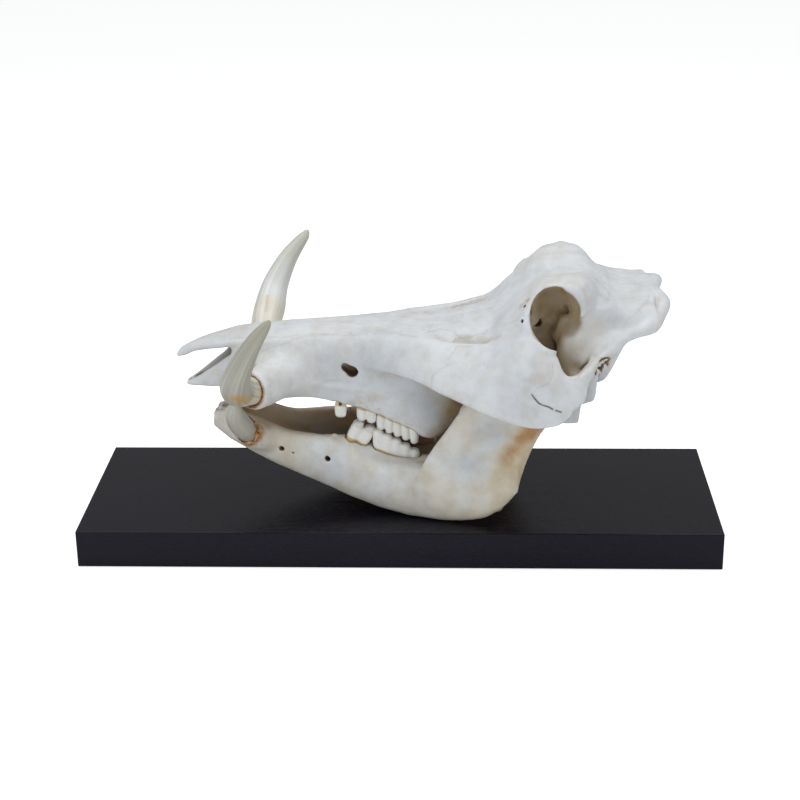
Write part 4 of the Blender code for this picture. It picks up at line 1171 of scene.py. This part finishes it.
def bone_look(name, pale, warm, cool_and_shade, dirt_and_shade, amount):
    """Bleached bone. The masks that the mesh carries say where each colour goes."""
    look, tree, shader, place = start_material(name)
    grain = place_group(tree, grain_group, {"Place": place, "Fineness": 1100.0, "Pores": 0.8})
    broad = speckle(tree, place, 16.0, 3.0)
    middling = speckle(tree, place, 75.0, 4.0)
    colour = blend(tree, spread(tree, broad, 0.38, 0.62), pale, warm)
    # The cool colour goes on the cool patches, which are partly painted shade, and at random in middling
    # patches.
    cool_and_shaded = sums(tree, "ADD", mask(tree, "cool_and_shade"), spread(tree, middling, 0.5, 0.75, 0.0, 0.3), clamp=True)
    colour = blend(tree, cool_and_shaded, colour, cool_and_shade)
    colour = blend(tree, spread(tree, grain["Mottle"], 0.4, 0.7, 0.0, 0.26), colour, dirt_and_shade)
    # The shared group lays dirt and painted shade in crannies and hollows, and lifts the edges.
    worn = place_group(tree, dirt_shade_wear_group, {
        "Colour": colour, "Dirt and shade": dirt_and_shade, "Mottle": grain["Mottle"], "Amount": amount,
        "Cranny": mask(tree, "cranny"), "Hollow": mask(tree, "hollow"), "Open": mask(tree, "open"),
        "Edge": mask(tree, "edge")})
    # Painted shade: the jaw's sides that face the tongue turn brown.
    colour = blend(tree, sums(tree, "MULTIPLY", mask(tree, "inner"), 0.9), worn["Colour"], INNER_SHADE_BROWN)
    ragged = sums(tree, "SUBTRACT", sums(tree, "MULTIPLY", middling, 1.1), 0.55)
    broken_up = sums(tree, "MULTIPLY", ragged, mask(tree, "stain"))
    # The stain patches, a few of which are painted shade, go from a pale to a deep rust.
    stain = sums(tree, "ADD", mask(tree, "stain"), broken_up, clamp=True)
    rust_and_shade = blend(tree, spread(tree, stain, 0.3, 0.9), PALE_STAIN_AND_SHADE, STAIN_DEEP)
    colour = blend(tree, sums(tree, "MULTIPLY", stain, 0.92), colour, rust_and_shade)
    sponge = sums(tree, "MULTIPLY", mask(tree, "spongy"), spread(tree, grain["Mottle"], 0.45, 0.58))
    colour = blend(tree, sums(tree, "MULTIPLY", sponge, 0.6), colour, SPONGE_BROWN)
    colour = blend(tree, sums(tree, "MULTIPLY", mask(tree, "seam"), 0.28), colour, SEAM_GREY)
    colour = blend(tree, mask(tree, "crack"), colour, CRACK_DARK)
    colour = blend(tree, sums(tree, "MULTIPLY", mask(tree, "gum"), 0.8), colour, GUM_BROWN)
    patchy = spread(tree, grain["Mottle"], 0.35, 0.5, 0.4, 1.0)
    crusty = sums(tree, "MULTIPLY", mask(tree, "socket"), patchy)
    crust = blend(tree, spread(tree, grain["Fine"], 0.4, 0.6), CRUST_DARK, CRUST_BRIGHT)
    colour = blend(tree, crusty, colour, crust)
    feed(tree, shader.inputs["Base Color"], colour)
    chalky = spread(tree, grain["Fine"], 0.3, 0.7, 0.42, 0.62)
    polished = sums(tree, "MULTIPLY", worn["Worn"], 0.1)
    feed(tree, shader.inputs["Roughness"], sums(tree, "SUBTRACT", chalky, polished))
    shader.inputs["Specular IOR Level"].default_value = 0.4
    bump = put(tree, "ShaderNodeBump", {"Height": grain["Height"], "Strength": 0.8, "Distance": 0.0003})
    feed(tree, shader.inputs["Normal"], bump.outputs["Normal"])
    return look


white_bone = bone_look("bleached_bone", (0.7, 0.725, 0.755, 1), (0.745, 0.755, 0.76, 1),
(0.52, 0.56, 0.61, 1),
                       (0.38, 0.3, 0.19, 1), 0.95)
cream_bone = bone_look("cream_bone", (0.72, 0.735, 0.73, 1), (0.69, 0.64, 0.53, 1), (0.55, 0.6, 0.66, 1),
                       (0.33, 0.24, 0.14, 1), 0.85)
cranium.data.materials.append(white_bone)
mandible.data.materials.append(cream_bone)
print("bone materials:", white_bone.name, cream_bone.name, len(white_bone.node_tree.nodes), "nodes each")

# %% Enamel
enamel, tree, shader, place = start_material("tooth_enamel")
grain = place_group(tree, grain_group, {
    "Place": place, "Along": (1, 1, 0.25), "Fineness": 1500.0, "Pores": 0.2})
crown = mask(tree, "crown")
colour = blend(tree, spread(tree, grain["Mottle"], 0.35, 0.65), (0.8, 0.79, 0.74, 1),
(0.85, 0.85, 0.82, 1))
colour = blend(tree, spread(tree, crown, -0.02, -0.18), colour, (0.6, 0.43, 0.18, 1))
colour = blend(tree, spread(tree, crown, 0.92, 1.1, 0.0, 0.4), colour, (0.42, 0.33, 0.22, 1))
# The shared group lays dirt and painted shade in the tooth's crannies, and lifts its edges.
worn = place_group(tree, dirt_shade_wear_group, {
    "Colour": colour, "Dirt and shade": (0.3, 0.19, 0.09, 1), "Mottle": grain["Mottle"],
    "Cranny": mask(tree, "cranny"), "Hollow": 0.0, "Edge": mask(tree, "edge"), "Amount": 0.6})
feed(tree, shader.inputs["Base Color"], worn["Colour"])
feed(tree, shader.inputs["Roughness"], spread(tree, grain["Fine"], 0.3, 0.7, 0.22, 0.42))
bump = put(tree, "ShaderNodeBump", {"Height": grain["Height"], "Strength": 0.3, "Distance": 0.0002})
feed(tree, shader.inputs["Normal"], bump.outputs["Normal"])
for piece, _ in teeth.values():
    piece.data.materials.append(enamel)
print("enamel on", len(teeth), "teeth")


# %% Ivory
FULL_TURN = 6.2832
IVORY_STAIN = (0.52, 0.33, 0.12, 1)
ROOT_BLUR = 0.04


def ivory_look(name, root, shaft, tip, dark, root_end):
    """Tusk ivory: streaks along it, rings near the root, stained where it leaves the socket."""
    look, tree, shader, place = start_material(name)
    along, around = mask(tree, "along"), mask(tree, "around")
    angle = sums(tree, "MULTIPLY", around, FULL_TURN)
    unrolled = put(tree, "ShaderNodeCombineXYZ", {
        "X": sums(tree, "MULTIPLY", along, 0.02), "Y": sums(tree, "SINE", angle),
        "Z": sums(tree, "COSINE", angle)})
    streaks = speckle(tree, unrolled.outputs[0], 4.5, 6.0, 0.6)
    grain = place_group(tree, grain_group, {
        "Place": place, "Along": (1, 1, 1), "Fineness": 1400.0, "Pores": 0.15})
    blotch = speckle(tree, place, 60.0, 4.0)
    ragged = sums(tree, "ADD", along, sums(tree, "MULTIPLY", sums(tree, "SUBTRACT", streaks, 0.5), 0.12))
    colour = blend(tree, spread(tree, ragged, root_end - ROOT_BLUR, root_end + ROOT_BLUR), root, shaft)
    colour = blend(tree, spread(tree, along, 0.6, 1.0), colour, tip)
    colour = blend(tree, spread(tree, streaks, 0.42, 0.68, 0.0, 0.6), colour, dark)
    colour = blend(tree, spread(tree, blotch, 0.5, 0.7, 0.0, 0.3), colour, shaft)
    rusty = sums(tree, "MULTIPLY", mask(tree, "stain"), spread(tree, blotch, 0.3, 0.52, 0.3, 1.0))
    colour = blend(tree, rusty, colour, IVORY_STAIN)
    feed(tree, shader.inputs["Base Color"], colour)
    feed(tree, shader.inputs["Roughness"], spread(tree, streaks, 0.3, 0.7, 0.3, 0.5))
    height = sums(tree, "ADD", sums(tree, "MULTIPLY", streaks, 1.5), grain["Height"])
    bump = put(tree, "ShaderNodeBump", {"Height": height, "Strength": 0.35, "Distance": 0.0003})
    feed(tree, shader.inputs["Normal"], bump.outputs["Normal"])
    return look


# The near, left tusk's ivory is darker, for its stains and as painted shade; the far, right tusk's is much
# lighter as painted light.
stained_shaded_ivory = ivory_look("stained_shaded_ivory", (0.76, 0.7, 0.54, 1), (0.49, 0.48, 0.42, 1),
(0.48, 0.47, 0.37, 1),
                           (0.16, 0.14, 0.1, 1), 0.36)
pale_lit_ivory = ivory_look("pale_lit_ivory", (0.79, 0.74, 0.63, 1), (0.82, 0.82, 0.81, 1), (0.6, 0.61, 0.5, 1),
                        (0.5, 0.47, 0.38, 1), 0.5)
polished_ivory = ivory_look("polished_ivory", (0.42, 0.36, 0.27, 1), (0.46, 0.44, 0.38, 1),
(0.56, 0.55, 0.49, 1),
                            (0.33, 0.31, 0.25, 1), 0.3)

# %% [markdown]
# ## Tusks
#
# A tusk follows a rule: round sections strung along a curve, each a little smaller than the one
# before, with the same ridges running the whole length. That is what Curve to Mesh does, so a
# Geometry Nodes tree makes all four from their centre lines. A Float Curve holds the shape of
# the section, and growth rings ripple across it, fading towards the worn tip.

# %% The tusk tree
def tusk_tree(name, section):
    """A tree that turns a centre line with radii into a ridged tusk."""
    tree = bpy.data.node_groups.new(name, "GeometryNodeTree")
    sockets = tree.interface
    sockets.new_socket("Centre line", in_out="INPUT", socket_type="NodeSocketGeometry")
    for label, kind, value in (("Rings", "Int", 130), ("Sides", "Int", 80),
    ("Ring height", "Float", 0.0003)):
        sockets.new_socket(label, in_out="INPUT", socket_type="NodeSocket" + kind).default_value = value
    sockets.new_socket("Finish", in_out="INPUT", socket_type="NodeSocketMaterial")
    sockets.new_socket("Tusk", in_out="OUTPUT", socket_type="NodeSocketGeometry")
    given, gives = tree.nodes.new("NodeGroupInput").outputs, tree.nodes.new("NodeGroupOutput").inputs

    def keep(geometry, label, value):
        stored = {"Geometry": geometry, "Name": label, "Value": value}
        return put(tree, "GeometryNodeStoreNamedAttribute", stored, data_type="FLOAT",
                   domain="POINT").outputs[0]

    # The centre line, and how far along it each section stands
    line = put(tree, "GeometryNodeResampleCurve", {"Curve": given["Centre line"], "Count": given["Rings"]})
    line = keep(line.outputs[0], "along", put(tree, "GeometryNodeSplineParameter").outputs["Factor"])
    # The section, a circle pushed in and out by the Float Curve as it goes round
    circle = put(tree, "GeometryNodeCurvePrimitiveCircle", {"Resolution": given["Sides"], "Radius": 1.0})
    turn = put(tree, "GeometryNodeSplineParameter").outputs["Factor"]
    ring = keep(circle.outputs[0], "around", turn)
    ridges = put(tree, "ShaderNodeFloatCurve", {"Value": turn})
    wave = ridges.mapping.curves[0]
    wave.points[0].location = (0, section[0])
    wave.points[1].location = (1, section[0])
    for number, height in enumerate(section[1:], 1):
        wave.points.new(number / len(section), height)
    ridges.mapping.update()
    spot = put(tree, "GeometryNodeInputPosition").outputs[0]
    pushed = put(tree, "ShaderNodeVectorMath", {0: spot, "Scale": ridges.outputs[0]},
                 operation="SCALE").outputs[0]
    ring = put(tree, "GeometryNodeSetPosition", {"Geometry": ring, "Position": pushed}).outputs[0]
    swept = put(tree, "GeometryNodeCurveToMesh", {
        "Curve": line, "Profile Curve": ring, "Scale": put(tree, "GeometryNodeInputRadius").outputs[0],
        "Fill Caps": True}).outputs[0]
    # Growth rings, tallest at the root
    length = put(tree, "GeometryNodeInputNamedAttribute", {"Name": "along"}, data_type="FLOAT").outputs[0]
    waves = put(tree, "ShaderNodeTexNoise", {"W": length, "Scale": 34.0, "Detail": 3.0},
                noise_dimensions="1D")
    tall = sums(tree, "MULTIPLY", sums(tree, "SUBTRACT", waves.outputs[0], 0.5), given["Ring height"])
    tall = sums(tree, "MULTIPLY", tall, spread(tree, length, 0.0, 0.75, 1.0, 0.15))
    outwards = put(tree, "GeometryNodeInputNormal").outputs[0]
    push = put(tree, "ShaderNodeVectorMath", {0: outwards, "Scale": tall}, operation="SCALE").outputs[0]
    ringed = put(tree, "GeometryNodeSetPosition", {"Geometry": swept, "Offset": push}).outputs[0]
    smooth = put(tree, "GeometryNodeSetShadeSmooth", {"Geometry": ringed}).outputs[0]
    real = put(tree, "GeometryNodeRealizeInstances", {"Geometry": smooth}).outputs[0]
    coat = put(tree, "GeometryNodeSetMaterial", {"Geometry": real, "Material": given["Finish"]}).outputs[0]
    feed(tree, gives["Tusk"], coat)
    return tree


# %% Growing a tusk on its centre line
def centre_line(name, points, side):
    """A curve object through (x, y, z, radius) points, rounded off at the tip."""
    path = smooth_path(points, 4.0)
    tip = path[-1]
    run = path[-1, :3] - path[-2, :3]
    run /= np.linalg.norm(run)
    for share, width in ((0.5, 0.75), (0.8, 0.3)):
        path = np.vstack([path, np.append(tip[:3] + run * tip[3] * share, tip[3] * width)])
    path[:, 1] *= side
    data = bpy.data.curves.new(name, "CURVE")
    data.dimensions = "3D"
    line = data.splines.new("POLY")
    line.points.add(len(path) - 1)
    for spot, (x, y, z, radius) in zip(line.points, path * MM):
        spot.co = (x, y, z, 1)
        spot.radius = radius
    made = bpy.data.objects.new(name, data)
    bpy.context.scene.collection.objects.link(made)
    return made


TUSK_STAINS = [((-139, 126, 180), 9, 1.0, (-131, 106, 170)),
               ((-136, 89, 189), 2.6, 0.6, (-136, 105, 199)),
               ((-124, 50, 150), 5, 0.7),
               ((-140, 41, 110), 6, 0.7)]


def grow_tusk(name, points, side, tree, rings, finish, facet=None):
    """Runs the tree on a centre line and keeps the result as a plain mesh. A facet is a point and
    the way it faces: what stands out past it has been worn away."""
    line = centre_line(name + "-line", points, side)
    growth = line.modifiers.new("Tusk", "NODES")
    growth.node_group = tree
    for item in tree.interface.items_tree:
        if item.item_type == "SOCKET" and item.name in ("Rings", "Finish"):
            growth[item.identifier] = rings if item.name == "Rings" else finish
    seen = line.evaluated_get(bpy.context.evaluated_depsgraph_get())
    mesh = bpy.data.meshes.new_from_object(seen)
    mesh.name = name
    bpy.data.objects.remove(line)
    if facet:
        spots = coordinates(mesh)
        through, facing = np.array(facet[0], float), np.array(facet[1], float)
        facing /= np.linalg.norm(facing)
        proud = np.maximum((spots - through) @ facing, 0) * (np.abs(spots[:, 1]) > abs(through[1]) - 14)
        write_points(mesh, spots - proud[:, None] * facing)
    write_mask(mesh, "stain", patches(coordinates(mesh), TUSK_STAINS))
    work = bmesh.new()
    work.from_mesh(mesh)
    bmesh.ops.recalc_face_normals(work, faces=work.faces)
    work.to_mesh(mesh)
    work.free()
    piece = bpy.data.objects.new(name, mesh)
    bpy.context.scene.collection.objects.link(piece)
    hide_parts(name.replace("-", "_"))
    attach(piece, "root")
    print(name, "triangles:", sum(len(face.vertices) - 2 for face in mesh.polygons))
    return piece


# %% Four tusks
RIDGED = [1.0, 0.995, 1.0, 0.992, 1.0, 0.98, 0.994, 1.0, 0.985, 1.0, 0.972, 0.992, 1.0, 0.996]
SMOOTH = [1.0, 0.985, 0.97, 0.99, 1.0, 0.98]
ridged_tree = tusk_tree("ridged_tusk", RIDGED)
smooth_tree = tusk_tree("smooth_tusk", SMOOTH)
# The darker ivory on the near tusk is partly painted shade, and the lighter one on the far tusk is painted
# light.
grow_tusk("upper-tusk-left", UPPER_TUSK_LEFT, -1, ridged_tree, 150, stained_shaded_ivory,
          ((-149, -62, 150.5), (0, -0.27, -1)))
grow_tusk("upper-tusk-right", UPPER_TUSK_RIGHT, 1, ridged_tree, 150, pale_lit_ivory,
          ((-149, 62, 150.5), (0, 0.27, -1)))
grow_tusk("lower-tusk-left", LOWER_TUSK, -1, smooth_tree, 70, polished_ivory)
grow_tusk("lower-tusk-right", LOWER_TUSK, 1, smooth_tree, 70, polished_ivory)

# %% [markdown]
# ## The board
#
# The skull stands on a plain board of wood stained black and rubbed to a satin finish. Its shape
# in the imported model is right, so it stays and only gets a material. The grain runs its length:
# noise stretched along x, very faint in the colour and the roughness, and fine fibres in the
# bump.

# %% Black wood
black_wood, tree, shader, place = start_material("black_wood")
along_grain = put(tree, "ShaderNodeVectorMath", {0: place, 1: (0.06, 1, 1)},
                  operation="MULTIPLY").outputs[0]
figure = speckle(tree, along_grain, 90.0, 5.0, 0.6)
fibre = speckle(tree, along_grain, 900.0, 3.0, 0.6)
colour = blend(tree, spread(tree, figure, 0.3, 0.7), (0.0032, 0.0028, 0.0052, 1),
(0.0058, 0.005, 0.0092, 1))
colour = blend(tree, spread(tree, fibre, 0.55, 0.75, 0.0, 0.5), colour, (0.009, 0.008, 0.012, 1))
feed(tree, shader.inputs["Base Color"], colour)
satin = spread(tree, figure, 0.3, 0.7, 0.22, 0.29)
rubbed = sums(tree, "ADD", satin, spread(tree, fibre, 0.4, 0.7, 0.0, 0.07))
feed(tree, shader.inputs["Roughness"], rubbed)
shader.inputs["Specular IOR Level"].default_value = 0.24
shader.inputs["Specular Tint"].default_value = (0.84, 0.8, 1.0, 1.0)
bump = put(tree, "ShaderNodeBump", {"Height": fibre, "Strength": 0.12, "Distance": 0.00015})
feed(tree, shader.inputs["Normal"], bump.outputs["Normal"])
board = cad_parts["display_board"]
board.data.materials.clear()
board.data.materials.append(black_wood)
for face in board.data.polygons:
    face.material_index = 0
print("board faces:", len(board.data.polygons))
